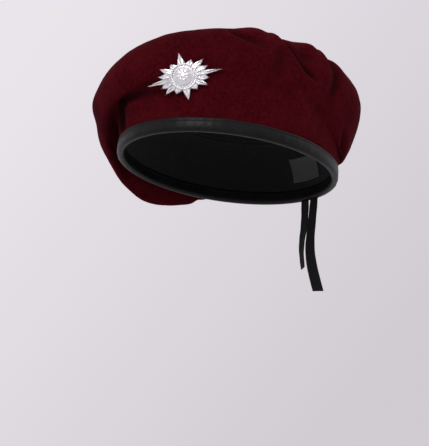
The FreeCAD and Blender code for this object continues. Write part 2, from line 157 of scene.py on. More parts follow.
def shell_faces(columns: int, rows: int, closed_top: bool) -> list:
    """Faces of a thick shell whose outer points come before its inner ones.

    Args:
        columns: Number of points round the shell.
        rows: Number of points up each column of one layer.
        closed_top: Whether each layer closes at one more point, kept after both layers,
            and doesn't end in a rim.

    Returns:
        A list of corner indices for each face.
    """
    count, last = columns * rows, rows - 1
    faces = grid_faces(columns, rows)
    faces += grid_faces(columns, rows, start=count, flip=True)
    for column in range(columns):
        here, after = column * rows, (column + 1) % columns * rows
        faces.append([after, here, count + here, count + after])
        top, top_after = here + last, after + last
        if closed_top:
            faces.append([top, top_after, 2 * count])
            faces.append([count + top_after, count + top, 2 * count + 1])
        else:
            faces.append([top, top_after, count + top_after, count + top])
    return faces


def baked(piece: bpy.types.Object) -> bpy.types.Object:
    """Replace a piece's mesh by its evaluated form, without modifiers.

    Args:
        piece: A mesh object with modifiers.

    Returns:
        The same object.
    """
    graph = bpy.context.evaluated_depsgraph_get()
    mesh = bpy.data.meshes.new_from_object(piece.evaluated_get(graph))
    piece.modifiers.clear()
    piece.data = mesh
    return piece


def store_values(piece: bpy.types.Object, label: str, values: Points) -> None:
    """Keep one number for each of a piece's points, for its material to read."""
    numbers = piece.data.attributes.new(label, "FLOAT", "POINT")
    numbers.data.foreach_set("value", values)


def store_map(piece: bpy.types.Object, label: str, places: Points) -> None:
    """Keep a place on the cloth for each of a piece's points, as the piece's own map.

    Args:
        piece: A mesh object.
        label: Name of the map.
        places: Metres across and along the cloth, one row to a point.
    """
    layer = piece.data.uv_layers.new(name=label)
    corners = np.zeros(len(piece.data.loops), int)
    piece.data.loops.foreach_get("vertex_index", corners)
    layer.data.foreach_set("uv", places[corners].ravel())


def box_middle(points: Points) -> Points:
    """Middle of the box round some points."""
    return (points.min(0) + points.max(0)) / 2


def node_points(node: str) -> Points:
    """Every vertex of a CAD node, in millimetres.

    Args:
        node: Name of the node.

    Returns:
        One point to a row.
    """
    mesh = frame["nodes"][node].data
    flat = np.zeros(len(mesh.vertices) * 3)
    mesh.vertices.foreach_get("co", flat)
    return flat.reshape(-1, 3) / MM


def finish_piece(piece: bpy.types.Object, material: bpy.types.Material, slot: Slot,
                 *nodes: str) -> None:
    """Dress a piece, fix it to the cap's body and say which CAD nodes it stands for.

    Args:
        piece: A mesh object.
        material: Its material, unless it already has one.
        slot: Its material slot in the record; not used.
        nodes: Names of the CAD nodes that it replaces, if any.
    """
    if not piece.data.materials:
        piece.data.materials.append(material)
    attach(piece, "root")
    if nodes:
        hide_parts(*nodes)
    log.info("%s: %d faces for %s", piece.name, len(piece.data.polygons), nodes)


# ------------------------------------------------------------- shader effects
def new_effect(name: str, inputs: dict, outputs: tuple) -> bpy.types.ShaderNodeTree:
    """An empty shader node group with named number inputs and outputs.

    Args:
        name: Name of the group.
        inputs: Default value of each input, a number, or None for a vector.
        outputs: Names of the number outputs.

    Returns:
        The group, with its Group Input and Group Output nodes.
    """
    group = bpy.data.node_groups.new(name, "ShaderNodeTree")
    for label, default in inputs.items():
        kind = "NodeSocketVector" if default is None else "NodeSocketFloat"
        socket = group.interface.new_socket(label, in_out="INPUT", socket_type=kind)
        if default is not None:
            socket.default_value = default
    for label in outputs:
        group.interface.new_socket(label, in_out="OUTPUT", socket_type="NodeSocketFloat")
    group.nodes.new("NodeGroupInput")
    group.nodes.new("NodeGroupOutput")
    return group


class Wiring:
    """Adds nodes to one tree and joins them."""

    def __init__(self, tree: bpy.types.NodeTree) -> None:
        """Remember the tree."""
        self.tree = tree

    def node(self, kind: str, **settings: object) -> bpy.types.Node:
        """A new node of this kind, with the given properties.

        Args:
            kind: Blender's name for the kind of node.
            settings: Properties to set on it.

        Returns:
            The node.
        """
        made = self.tree.nodes.new(kind)
        for label, value in settings.items():
            setattr(made, label, value)
        return made

    def join(self, source: bpy.types.NodeSocket, target: bpy.types.NodeSocket) -> None:
        """Link an output to an input."""
        self.tree.links.new(source, target)

    def feed(self, target: bpy.types.NodeSocket, value: object) -> None:
        """Link a socket, or set a plain value, on an input.

        Args:
            target: The input.
            value: An output to link, or a plain value.
        """
        if isinstance(value, bpy.types.NodeSocket):
            self.join(value, target)
        else:
            target.default_value = value

    def math(self, operation: str, first: object, second: object = 0.0) -> bpy.types.NodeSocket:
        """The result of a Math node.

        Args:
            operation: Blender's name for the operation.
            first: First operand, linked or plain.
            second: Second operand, linked or plain.

        Returns:
            The node's output.
        """
        made = self.node("ShaderNodeMath", operation=operation)
        self.feed(made.inputs[0], first)
        self.feed(made.inputs[1], second)
        return made.outputs[0]

    def noise(self, place: object, scale: object, detail: float = 4.0,
              rough: float = 0.6) -> bpy.types.NodeSocket:
        """The value of a Noise Texture node.

        Args:
            place: Where to look the noise up.
            scale: About how many features fit in a metre.
            detail: Number of finer layers.
            rough: Share that each finer layer adds.

        Returns:
            The node's output.
        """
        made = self.node("ShaderNodeTexNoise")
        self.feed(made.inputs["Vector"], place)
        self.feed(made.inputs["Scale"], scale)
        made.inputs["Detail"].default_value = detail
        made.inputs["Roughness"].default_value = rough
        return made.outputs["Fac"]

    def span(self, value: object, low: float, high: float, to_low: float = 0.0,
             to_high: float = 1.0) -> bpy.types.NodeSocket:
        """The value moved from one range to another, clamped.

        Args:
            value: The output to move.
            low: Start of the range it comes from.
            high: End of the range it comes from.
            to_low: Result at the start.
            to_high: Result at the end.

        Returns:
            The node's output.
        """
        made = self.node("ShaderNodeMapRange")
        self.feed(made.inputs["Value"], value)
        made.inputs["From Min"].default_value = low
        made.inputs["From Max"].default_value = high
        made.inputs["To Min"].default_value = to_low
        made.inputs["To Max"].default_value = to_high
        return made.outputs["Result"]

    def mix(self, share: object, first: object, second: object) -> bpy.types.NodeSocket:
        """The mix of two colours.

        Args:
            share: 0 for the first colour and 1 for the second, linked or plain.
            first: First colour, linked or plain.
            second: Second colour, linked or plain.

        Returns:
            The node's output.
        """
        made = self.node("ShaderNodeMix", data_type="RGBA")
        self.feed(made.inputs["Factor"], share)
        colours = [s for s in made.inputs if s.type == "RGBA"]
        self.feed(colours[0], first)
        self.feed(colours[1], second)
        return [s for s in made.outputs if s.type == "RGBA"][0]


def fibre_effect() -> bpy.types.ShaderNodeTree:
    """Milled wool: fine crossing fibres over soft clouds of tone.

    Returns:
        The node group.
    """
    group = new_effect("milled_fibres", {"Place": None, "Fibre Scale": 900.0,
                                         "Tuft Scale": 330.0, "Cloud Scale": 55.0},
                       ("Tone", "Height"))
    wires = Wiring(group)
    inputs = group.nodes["Group Input"].outputs
    cloud_share, tuft_share, fibre_share, tuft_height = 0.30, 0.42, 0.28, 1.2
    stretch_one = wires.node("ShaderNodeMapping")
    stretch_one.inputs["Scale"].default_value = (1.0, 0.22, 0.6)
    stretch_one.inputs["Rotation"].default_value = (0.4, 0.9, 0.5)
    stretch_two = wires.node("ShaderNodeMapping")
    stretch_two.inputs["Scale"].default_value = (0.25, 1.0, 0.8)
    stretch_two.inputs["Rotation"].default_value = (1.1, 0.2, 0.8)
    wires.join(inputs["Place"], stretch_one.inputs["Vector"])
    wires.join(inputs["Place"], stretch_two.inputs["Vector"])
    first = wires.noise(stretch_one.outputs[0], inputs["Fibre Scale"], 5.0, 0.7)
    second = wires.noise(stretch_two.outputs[0], inputs["Fibre Scale"], 5.0, 0.7)
    fibres = wires.math("MAXIMUM", first, second)
    clouds = wires.noise(inputs["Place"], inputs["Cloud Scale"], 5.0, 0.62)
    tufts = wires.noise(inputs["Place"], inputs["Tuft Scale"], 3.0, 0.65)
    broad = wires.math("ADD", wires.math("MULTIPLY", clouds, cloud_share),
                       wires.math("MULTIPLY", tufts, tuft_share))
    tone = wires.math("ADD", wires.math("MULTIPLY", fibres, fibre_share), broad)
    wires.join(tone, group.nodes["Group Output"].inputs["Tone"])
    height = wires.math("ADD", fibres, wires.math("MULTIPLY", tufts, tuft_height))
    wires.join(height, group.nodes["Group Output"].inputs["Height"])
    return group


def grain_effect() -> bpy.types.ShaderNodeTree:
    """Leather or enamel grain: small rounded cells with creases between them.

    Returns:
        The node group.
    """
    group = new_effect("grain", {"Place": None, "Cell Scale": 900.0}, ("Height",))
    wires = Wiring(group)
    crease_width, drift_scale, drift_height = 0.28, 0.18, 0.9
    inputs = group.nodes["Group Input"].outputs
    cells = wires.node("ShaderNodeTexVoronoi", feature="DISTANCE_TO_EDGE")
    wires.join(inputs["Place"], cells.inputs["Vector"])
    wires.join(inputs["Cell Scale"], cells.inputs["Scale"])
    rounded = wires.span(cells.outputs["Distance"], 0.0, crease_width)
    drift = wires.noise(inputs["Place"],
                        wires.math("MULTIPLY", inputs["Cell Scale"], drift_scale))
    height = wires.math("ADD", rounded, wires.math("MULTIPLY", drift, drift_height))
    wires.join(height, group.nodes["Group Output"].inputs["Height"])
    return group


def weave_effect() -> bpy.types.ShaderNodeTree:
    """Woven threads: over and under in both directions, stepped along for a twill. Gap is high
    where the threads dip, and drives roughness and painted shade there.

    Returns:
        The node group.
    """
    group = new_effect("weave", {"Place": None, "Threads": 2600.0, "Step": 0.5},
                       ("Height", "Gap"))
    wires = Wiring(group)
    inputs = group.nodes["Group Input"].outputs
    parts = wires.node("ShaderNodeSeparateXYZ")
    wires.join(inputs["Place"], parts.inputs[0])
    across = wires.math("MULTIPLY", parts.outputs["X"], inputs["Threads"])
    along = wires.math("MULTIPLY", parts.outputs["Y"], inputs["Threads"])
    warp = wires.math("ABSOLUTE", wires.math("SINE", across))
    weft = wires.math("ABSOLUTE", wires.math("SINE", along))
    slant = wires.math("ADD", wires.math("MULTIPLY", across, inputs["Step"]),
                       wires.math("MULTIPLY", along, 0.5))
    over = wires.span(wires.math("SINE", slant), -0.2, 0.2)
    blend = wires.node("ShaderNodeMix", data_type="FLOAT")
    wires.join(over, blend.inputs["Factor"])
    wires.join(warp, blend.inputs["A"])
    wires.join(weft, blend.inputs["B"])
    wires.join(blend.outputs["Result"], group.nodes["Group Output"].inputs["Height"])
    wires.join(wires.span(blend.outputs["Result"], 0.45, 0.0),
               group.nodes["Group Output"].inputs["Gap"])
    return group


def wear_effect() -> bpy.types.ShaderNodeTree:
    """Handling marks: broad dull patches and fine scratches.

    Returns:
        The node group.
    """
    group = new_effect("handling", {"Place": None, "Patch Scale": 90.0,
                                    "Scratch Scale": 1500.0}, ("Dull", "Scratch"))
    wires = Wiring(group)
    inputs = group.nodes["Group Input"].outputs
    patches = wires.noise(inputs["Place"], inputs["Patch Scale"], 5.0, 0.65)
    wires.join(wires.span(patches, 0.42, 0.68), group.nodes["Group Output"].inputs["Dull"])
    stretch = wires.node("ShaderNodeMapping")
    stretch.inputs["Scale"].default_value = (1.0, 0.06, 0.3)
    stretch.inputs["Rotation"].default_value = (0.3, 0.6, 0.9)
    wires.join(inputs["Place"], stretch.inputs["Vector"])
    lines = wires.noise(stretch.outputs[0], inputs["Scratch Scale"], 2.0, 0.5)
    wires.join(wires.span(lines, 0.6, 0.72), group.nodes["Group Output"].inputs["Scratch"])
    return group


# ------------------------------------------------------------------- finishes
class Finish:
    """A material under construction: its wires, its shader and its place input."""

    def __init__(self, name: str, uses_map: bool = False) -> None:
        """Start a material.

        Args:
            name: Name of the material.
            uses_map: Whether patterns follow the piece's own UV map.
        """
        self.material = bpy.data.materials.new(name)
        self.material.use_nodes = True
        self.wires = Wiring(self.material.node_tree)
        self.shader = self.material.node_tree.nodes["Principled BSDF"]
        source = self.wires.node("ShaderNodeTexCoord")
        self.place = source.outputs["UV" if uses_map else "Object"]

    def effect(self, group: bpy.types.ShaderNodeTree, **values: float) -> bpy.types.Node:
        """Place a shared effect, with its own values for the named inputs.

        Args:
            group: The effect.
            values: Value of each input, with _ for a space in its name.

        Returns:
            The group node.
        """
        made = self.wires.node("ShaderNodeGroup")
        made.node_tree = group
        self.wires.join(self.place, made.inputs["Place"])
        for label, value in values.items():
            made.inputs[label.replace("_", " ")].default_value = value
        return made

    def attribute(self, name: str) -> bpy.types.NodeSocket:
        """The number stored on the piece under this name."""
        return self.wires.node("ShaderNodeAttribute", attribute_name=name).outputs["Fac"]

    def colour(self, value: object) -> None:
        """Set the base colour, plain or linked."""
        self.wires.feed(self.shader.inputs["Base Color"], value)

    def rough(self, value: object) -> None:
        """Set the roughness, plain or linked."""
        self.wires.feed(self.shader.inputs["Roughness"], value)

    def relief(self, height: bpy.types.NodeSocket, distance: float,
               strength: float = 1.0) -> None:
        """Bump the surface by a height, over a distance in metres.

        Args:
            height: The height, linked.
            distance: Metres that a height of 1 stands for.
            strength: Share of the full effect.
        """
        bump = self.wires.node("ShaderNodeBump")
        bump.inputs["Strength"].default_value = strength
        bump.inputs["Distance"].default_value = distance
        self.wires.join(height, bump.inputs["Height"])
        self.wires.join(bump.outputs["Normal"], self.shader.inputs["Normal"])

    def constant(self, **values: object) -> bpy.types.Material:
        """Set plain values on the shader's own sockets and give back the material.

        Args:
            values: Value of each socket, with _ for a space in its name.

        Returns:
            The material.
        """
        for label, value in values.items():
            self.shader.inputs[label.replace("_", " ")].default_value = value
        return self.material


@dataclass(frozen=True)
class FeltFinish:
    """Matt maroon wool, milled, with a short nap, and painted shade mixed into its colour along
    the creases.
    """

    deep: tuple = (0.0262, 0.0008, 0.0019, 1.0)
    light: tuple = (0.0560, 0.0022, 0.0048, 1.0)
    # colour of the painted shade in the felt's creases
    fold_shade: tuple = (0.0042, 0.0010, 0.0008, 1.0)
    nap_sheen: float = 0.06
    nap_tint: tuple = (0.62, 0.07, 0.11, 1.0)

    def material(self, fibres: bpy.types.ShaderNodeTree) -> bpy.types.Material:
        """Build the material from the shared fibre effect.

        Args:
            fibres: The fibre effect.

        Returns:
            The material.
        """
        finish = Finish("maroon_felt")
        wool = finish.effect(fibres)
        tone = finish.wires.span(wool.outputs["Tone"], 0.42, 0.62)
        cloth = finish.wires.mix(tone, self.deep, self.light)
        # painted shade: the cloth darkens towards fold_shade where the stored fold attribute
        # marks a crease
        folds = finish.wires.span(finish.attribute("fold"), 0.0, 1.0, 0.0, 0.9)
        finish.colour(finish.wires.mix(folds, cloth, self.fold_shade))
        finish.rough(finish.wires.span(wool.outputs["Tone"], 0.3, 0.7, 0.86, 1.0))
        finish.relief(wool.outputs["Height"], 0.0006, 0.7)
        return finish.constant(Specular_IOR_Level=0.02, Sheen_Weight=self.nap_sheen,
                               Sheen_Roughness=0.55, Sheen_Tint=self.nap_tint)


@dataclass(frozen=True)
class LeatherFinish:
    """Black binding leather, lightly polished by handling."""

    black: tuple = (0.0016, 0.0015, 0.0015, 1.0)
    rubbed: tuple = (0.0045, 0.0042, 0.0042, 1.0)

    def material(self, grain: bpy.types.ShaderNodeTree,
                 handling: bpy.types.ShaderNodeTree) -> bpy.types.Material:
        """Build the material from the shared grain and handling effects.

        Args:
            grain: The grain effect.
            handling: The handling marks.

        Returns:
            The material.
        """
        finish = Finish("binding_leather")
        cells = finish.effect(grain, Cell_Scale=1100.0)
        marks = finish.effect(handling, Patch_Scale=70.0)
        finish.colour(finish.wires.mix(marks.outputs["Dull"], self.black, self.rubbed))
        finish.rough(finish.wires.span(marks.outputs["Dull"], 0.0, 1.0, 0.30, 0.44))
        finish.relief(cells.outputs["Height"], 0.00035, 0.5)
        return finish.constant(Specular_IOR_Level=0.08, Coat_Weight=0.14,
                               Coat_Roughness=0.32)


@dataclass(frozen=True)
class WovenFinish:
    """A woven cloth in one colour, with painted shade in the dips between its threads, mapped by
    Object place or the piece's own map.

    Threads is how many radians the weave's waves turn in a metre, pi for each thread. Step
    is how much the waves across count in the slant, where those along count a half. The
    bump is in metres.
    """

    name: str
    thread: tuple
    # colour of the painted shade between the threads
    gap_shade: tuple
    threads: float
    step: float
    uses_map: bool = False
    roughness: float = 0.8
    bump: float = 0.00025
    sheen: float = 0.03
    faded_share: float = 0.35
    faded_gain: float = 2.0
    faded_lift: float = 0.004

    def material(self, weave: bpy.types.ShaderNodeTree,
                 fibres: bpy.types.ShaderNodeTree) -> bpy.types.Material:
        """Build the material from the shared weave and fibre effects.

        Args:
            weave: The weave effect.
            fibres: The fibre effect.

        Returns:
            The material.
        """
        finish = Finish(self.name, self.uses_map)
        cloth = finish.effect(weave, Threads=self.threads, Step=self.step)
        wool = finish.effect(fibres, Fibre_Scale=1400.0, Cloud_Scale=140.0)
        # painted shade: the thread colour darkens towards the gap colour where the weave dips
        dark = finish.wires.mix(cloth.outputs["Gap"], self.thread, self.gap_shade)
        faded = finish.wires.span(wool.outputs["Tone"], 0.35, 0.7, 0.0, self.faded_share)
        pale = tuple(min(1.0, part * self.faded_gain + self.faded_lift)
                     for part in self.thread[:3]) + (1.0,)
        finish.colour(finish.wires.mix(faded, dark, pale))
        finish.rough(finish.wires.span(cloth.outputs["Gap"], 0.0, 1.0, self.roughness, 1.0))
        finish.relief(cloth.outputs["Height"], self.bump, 0.8)
        return finish.constant(Specular_IOR_Level=0.10, Sheen_Weight=self.sheen,
                               Sheen_Roughness=0.5)


@dataclass(frozen=True)
class MetalFinish:
    """A metal or enamelled metal, with handling marks."""

    name: str
    bright: tuple
    dull: tuple
    metallic: float
    smooth: float
    matt: float
    uses_relief: bool = False
    cell_scale: float = 1600.0
    bump: float = 0.00006
    dulled_share: float = 0.45

    def material(self, grain: bpy.types.ShaderNodeTree,
                 handling: bpy.types.ShaderNodeTree) -> bpy.types.Material:
        """Build the material from the shared grain and handling effects.

        Args:
            grain: The grain effect.
            handling: The handling marks.

        Returns:
            The material.
        """
        finish = Finish(self.name)
        marks = finish.effect(handling)
        cells = finish.effect(grain, Cell_Scale=self.cell_scale)
        worn = finish.wires.math("MULTIPLY", marks.outputs["Dull"], self.dulled_share)
        if self.uses_relief:
            worn = finish.wires.math("MAXIMUM", worn, finish.attribute("recess"))
        finish.colour(finish.wires.mix(worn, self.bright, self.dull))
        scuffed = finish.wires.math("MAXIMUM", worn, marks.outputs["Scratch"])
        finish.rough(finish.wires.span(scuffed, 0.0, 1.0, self.smooth, self.matt))
        finish.relief(cells.outputs["Height"], self.bump, 0.5)
        return finish.constant(Metallic=self.metallic)


class Wardrobe:
    """Every material of the beret, built once from the shared effects."""

    def __init__(self) -> None:
        """Build the effects, then the materials."""
        fibres, grain = fibre_effect(), grain_effect()
        weave, handling = weave_effect(), wear_effect()
        # black cloth, and a darker colour painted as shade in the dips of its weave
        black, weave_gap_shade = (0.0065, 0.0065, 0.0072, 1.0), (0.0018, 0.0018, 0.002, 1.0)
        self.felt = FeltFinish().material(fibres)
        self.leather = LeatherFinish().material(grain, handling)
        self.ribbon = WovenFinish("black_ribbon", black, weave_gap_shade, 4200.0, 0.5,
                                  uses_map=True).material(weave, fibres)
        self.loop_ribbon = WovenFinish("loop_ribbon", black, weave_gap_shade, 4200.0,
                                       0.5).material(weave, fibres)
        self.lining = WovenFinish("lining_twill", (0.0062, 0.0062, 0.0068, 1.0), weave_gap_shade,
                                  4600.0, 1.0, uses_map=True, roughness=0.66,
                                  sheen=0.04).material(weave, fibres)
        # label thread, and a darker colour painted as shade in the dips of its weave
        self.label = WovenFinish("woven_label", (0.055, 0.054, 0.052, 1.0),
                                 (0.022, 0.022, 0.021, 1.0), 6000.0, 0.5,
                                 uses_map=True).material(weave, fibres)
        self.thread = WovenFinish("sewing_thread", (0.010, 0.010, 0.011, 1.0), weave_gap_shade,
                                  9000.0, 1.0).material(weave, fibres)
        self.buckram = WovenFinish("buckram", (0.016, 0.016, 0.018, 1.0), weave_gap_shade, 2400.0,
                                   0.5, bump=0.0004).material(weave, fibres)
        self.badge = MetalFinish("bright_badge_metal", (0.93, 0.93, 0.94, 1.0),
                                 (0.42, 0.42, 0.44, 1.0), 1.0, 0.17, 0.42,
                                 uses_relief=True).material(grain, handling)
        self.wire = MetalFinish("post_wire", (0.62, 0.61, 0.59, 1.0),
                                (0.36, 0.35, 0.34, 1.0), 1.0, 0.25,
                                0.5).material(grain, handling)
        self.brass = MetalFinish("clutch_brass", (0.66, 0.46, 0.17, 1.0),
                                 (0.32, 0.21, 0.08, 1.0), 1.0, 0.2,
                                 0.5).material(grain, handling)
        self.enamel = MetalFinish("vent_enamel", (0.010, 0.010, 0.011, 1.0),
                                  (0.028, 0.027, 0.027, 1.0), 0.0, 0.28, 0.5,
                                  cell_scale=700.0).material(grain, handling)

    def dress_nodes(self) -> None:
        """Give the CAD nodes that stay in view their materials."""
        dressed = {"drawstring_loop": self.loop_ribbon, "badge_posts": self.wire,
                   "badge_stiffener": self.buckram, "clutch_front": self.brass,
                   "clutch_rear": self.brass, "vent_eyelets": self.enamel,
                   "vent_washers": self.enamel}
        for node, material in dressed.items():
            for place in frame["nodes"][node].material_slots:
                place.link = "DATA"
                place.material = material
            log.info("%s keeps its CAD shape", node)


# ------------------------------------------------------ geometry node recipe
def row_recipe() -> bpy.types.GeometryNodeTree:
    """Small rounded bodies in a row along a closed line, such as stitches or beads.

    Returns:
        The node group.
    """
    tree = bpy.data.node_groups.new("rounded_row", "GeometryNodeTree")
    face = tree.interface
    face.new_socket("Line", in_out="INPUT", socket_type="NodeSocketGeometry")
    for label in ("Spacing", "Half Length", "Half Width"):
        face.new_socket(label, in_out="INPUT", socket_type="NodeSocketFloat")
    face.new_socket("Material", in_out="INPUT", socket_type="NodeSocketMaterial")
    face.new_socket("Row", in_out="OUTPUT", socket_type="NodeSocketGeometry")
    wires = Wiring(tree)
    inputs = wires.node("NodeGroupInput").outputs
    result = wires.node("NodeGroupOutput").inputs
    curve = wires.node("GeometryNodeMeshToCurve")
    wires.join(inputs["Line"], curve.inputs["Mesh"])
    places = wires.node("GeometryNodeCurveToPoints", mode="LENGTH")
    wires.join(curve.outputs["Curve"], places.inputs["Curve"])
    wires.join(inputs["Spacing"], places.inputs["Length"])
    body = wires.node("GeometryNodeMeshUVSphere")
    body.inputs["Segments"].default_value = 8
    body.inputs["Rings"].default_value = 5
    body.inputs["Radius"].default_value = 1.0
    shape = wires.node("ShaderNodeCombineXYZ")
    wires.join(inputs["Half Width"], shape.inputs["X"])
    wires.join(inputs["Half Width"], shape.inputs["Y"])
    wires.join(inputs["Half Length"], shape.inputs["Z"])
    placed = wires.node("GeometryNodeInstanceOnPoints")
    wires.join(places.outputs["Points"], placed.inputs["Points"])
    wires.join(places.outputs["Rotation"], placed.inputs["Rotation"])
    wires.join(body.outputs["Mesh"], placed.inputs["Instance"])
    wires.join(shape.outputs["Vector"], placed.inputs["Scale"])
    real = wires.node("GeometryNodeRealizeInstances")
    wires.join(placed.outputs["Instances"], real.inputs["Geometry"])
    dressed = wires.node("GeometryNodeSetMaterial")
    wires.join(real.outputs["Geometry"], dressed.inputs["Geometry"])
    wires.join(inputs["Material"], dressed.inputs["Material"])
    smooth = wires.node("GeometryNodeSetShadeSmooth")
    wires.join(dressed.outputs["Geometry"], smooth.inputs["Geometry"])
    wires.join(smooth.outputs["Geometry"], result["Row"])
    return tree


@dataclass
class RoundedRow:
    """A row of stitches or beads along a closed line, in millimetres."""

    recipe: bpy.types.GeometryNodeTree
    spacing: float
    long: float
    thick: float

    def build(self, name: str, line: Points, material: bpy.types.Material
              ) -> bpy.types.Object:
        """Place the row along a line.

        Args:
            name: Name of the new piece.
            line: Points of the closed line, in millimetres.
            material: What the bodies are made of.

        Returns:
            A plain mesh piece.
        """
        count = len(line)
        mesh = bpy.data.meshes.new(name)
        loop = [(index, (index + 1) % count) for index in range(count)]
        mesh.from_pydata((line * MM).tolist(), loop, [])
        piece = bpy.data.objects.new(name, mesh)
        bpy.context.scene.collection.objects.link(piece)
        values = {"Spacing": self.spacing * MM, "Half Length": self.long / 2 * MM,
                  "Half Width": self.thick / 2 * MM, "Material": material}
        row = piece.modifiers.new("row", "NODES")
        row.node_group = self.recipe
        for socket in self.recipe.interface.items_tree:
            if socket.in_out == "INPUT" and socket.name in values:
                row[socket.identifier] = values[socket.name]
        return baked(piece)


# ---------------------------------------------------------------- the opening
@dataclass(frozen=True)
class Opening:
    """The oval that the head goes into, from the CAD binding's box."""

    half_width: float
    half_length: float
    binding_top: float

    @classmethod
    def measured(cls, wall: float) -> "Opening":
        """Read the oval from the binding, whose wall has this thickness."""
        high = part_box("leather_binding")[1]
        return cls(high.x / MM - wall, high.y / MM - wall, high.z / MM)

    def at(self, directions: Points, reach: Points, height: Points) -> Points:
        """Points this far out from the oval.

        Args:
            directions: Angles round the opening in degrees.
            reach: Millimetres out from the oval.
            height: Millimetres up.

        Returns:
            One point to a row.
        """
        angle = np.radians(directions)
        sine, cosine = np.sin(angle), np.cos(angle)
        edge = np.stack([self.half_width * sine, -self.half_length * cosine,
                         np.zeros_like(sine)], -1)
        away = unit(np.stack([sine / self.half_width, -cosine / self.half_length,
                              np.zeros_like(sine)], -1))
        place = edge + away * np.asarray(reach)[..., None]
        place[..., 2] = height
        return place


# ------------------------------------------------------------- the felt crown
@dataclass(frozen=True)
class Fold:
    """A crease or a ridge that follows a line on the felt.

    The line is pairs of a direction and a station. Rise, lip and both widths are in millimetres,
    a fade is a share of the line, and shade scales the painted shade that the fold's valley gets
    in the felt's colour.
    A negative rise is a valley. The lip is a swelling beside it, on the side of a higher
    direction where lip_side is 1 and of a lower one where it is -1.
    """

    line: tuple
    rise: float
    width: float
    lip: float = 0.0
    lip_side: int = 1
    lip_width: float = 8.0
    fade_in: float = 0.3
    fade_out: float = 0.3
    shade: float = 1.0

    def change(self, crown: "FeltCrown", points: Points, normals: Points) -> tuple:
        """Work out what this fold does to the felt.

        Args:
            crown: The felt that the fold's line is drawn on.
            points: Points of the felt's plain outer face.
            normals: The way out of the face at each point.

        Returns:
            Millimetres that each point moves out, and how much painted shade it gets from lying
            deep in the fold.
        """
        line = np.array(self.line, float)
        steps = np.linspace(0, len(line) - 1, PATH_POINTS)
        knots = np.arange(len(line))
        unrolled = np.degrees(np.unwrap(np.radians(line[:, 0])))
        directions = np.interp(steps, knots, unrolled) % 360.0
        stations = np.interp(steps, knots, line[:, 1])
        path = crown.surface(directions, stations)
        for _ in range(PATH_ROUNDS):
            path[1:-1] = (path[:-2] + path[1:-1] * 2 + path[2:]) / 4
        heading = unit(np.gradient(path, axis=0))
        gaps = points[:, None, :] - path[None, :, :]
        square = (gaps ** 2).sum(-1)
        nearest = square.argmin(1)
        distance = np.sqrt(square[np.arange(len(points)), nearest])
        offset = gaps[np.arange(len(points)), nearest]
        sideways = np.cross(heading[nearest], normals)
        side = np.sign((offset * sideways).sum(-1))
        climbs = np.sign(line[-1, 1] - line[0, 1] + 1e-9)
        path_normals = normals[self._closest(points, path)]
        same_face = smooth_step((normals * path_normals[nearest]).sum(-1), 0.0, 0.6)
        along = nearest / (len(steps) - 1)
        fade = np.ones_like(along)
        if self.fade_in:
            fade *= smooth_step(along, 0.0, self.fade_in)
        if self.fade_out:
            fade *= smooth_step(1.0 - along, 0.0, self.fade_out)
        beyond = np.abs((offset * heading[nearest]).sum(-1))
        fade *= np.exp(-(beyond / self.width) ** 2)
        valley = self.rise * np.exp(-(distance / self.width) ** 2)
        from_lip = distance * side * climbs * self.lip_side - self.lip_width
        swelling = self.lip * np.exp(-(from_lip / self.lip_width) ** 2)
        reach = fade * same_face
        return (valley + swelling) * reach, np.maximum(-valley, 0) * reach * self.shade

    @staticmethod
    def _closest(points: Points, path: Points) -> Points:
        """Index of the felt's point nearest to each point of the path."""
        return np.array([((points - place) ** 2).sum(-1).argmin() for place in path])


@dataclass(frozen=True)
class Swelling:
    """A round rise or hollow of the felt, its rise and reach in millimetres. Shade scales the
    painted shade that a hollow gets in the felt's colour.
    """

    direction: float
    station: float
    rise: float
    reach: float
    shade: float = 0.6

    def change(self, crown: "FeltCrown", points: Points, normals: Points) -> tuple:
        """Work out what this swelling does to the felt.

        Args:
            crown: The felt that the swelling is on.
            points: Points of the felt's plain outer face.
            normals: The way out of the face at each point.

        Returns:
            Millimetres that each point moves out, and how much painted shade it gets from lying
            deep in the hollow.
        """
        centre = crown.surface(np.array([self.direction]), np.array([self.station]))[0]
        distance = np.linalg.norm(points - centre, axis=-1)
        closest = normals[distance.argmin()]
        same_face = smooth_step((normals * closest).sum(-1), -0.1, 0.5)
        moved = self.rise * np.exp(-(distance / self.reach) ** 2) * same_face
        return moved, np.maximum(-moved, 0.0) * self.shade


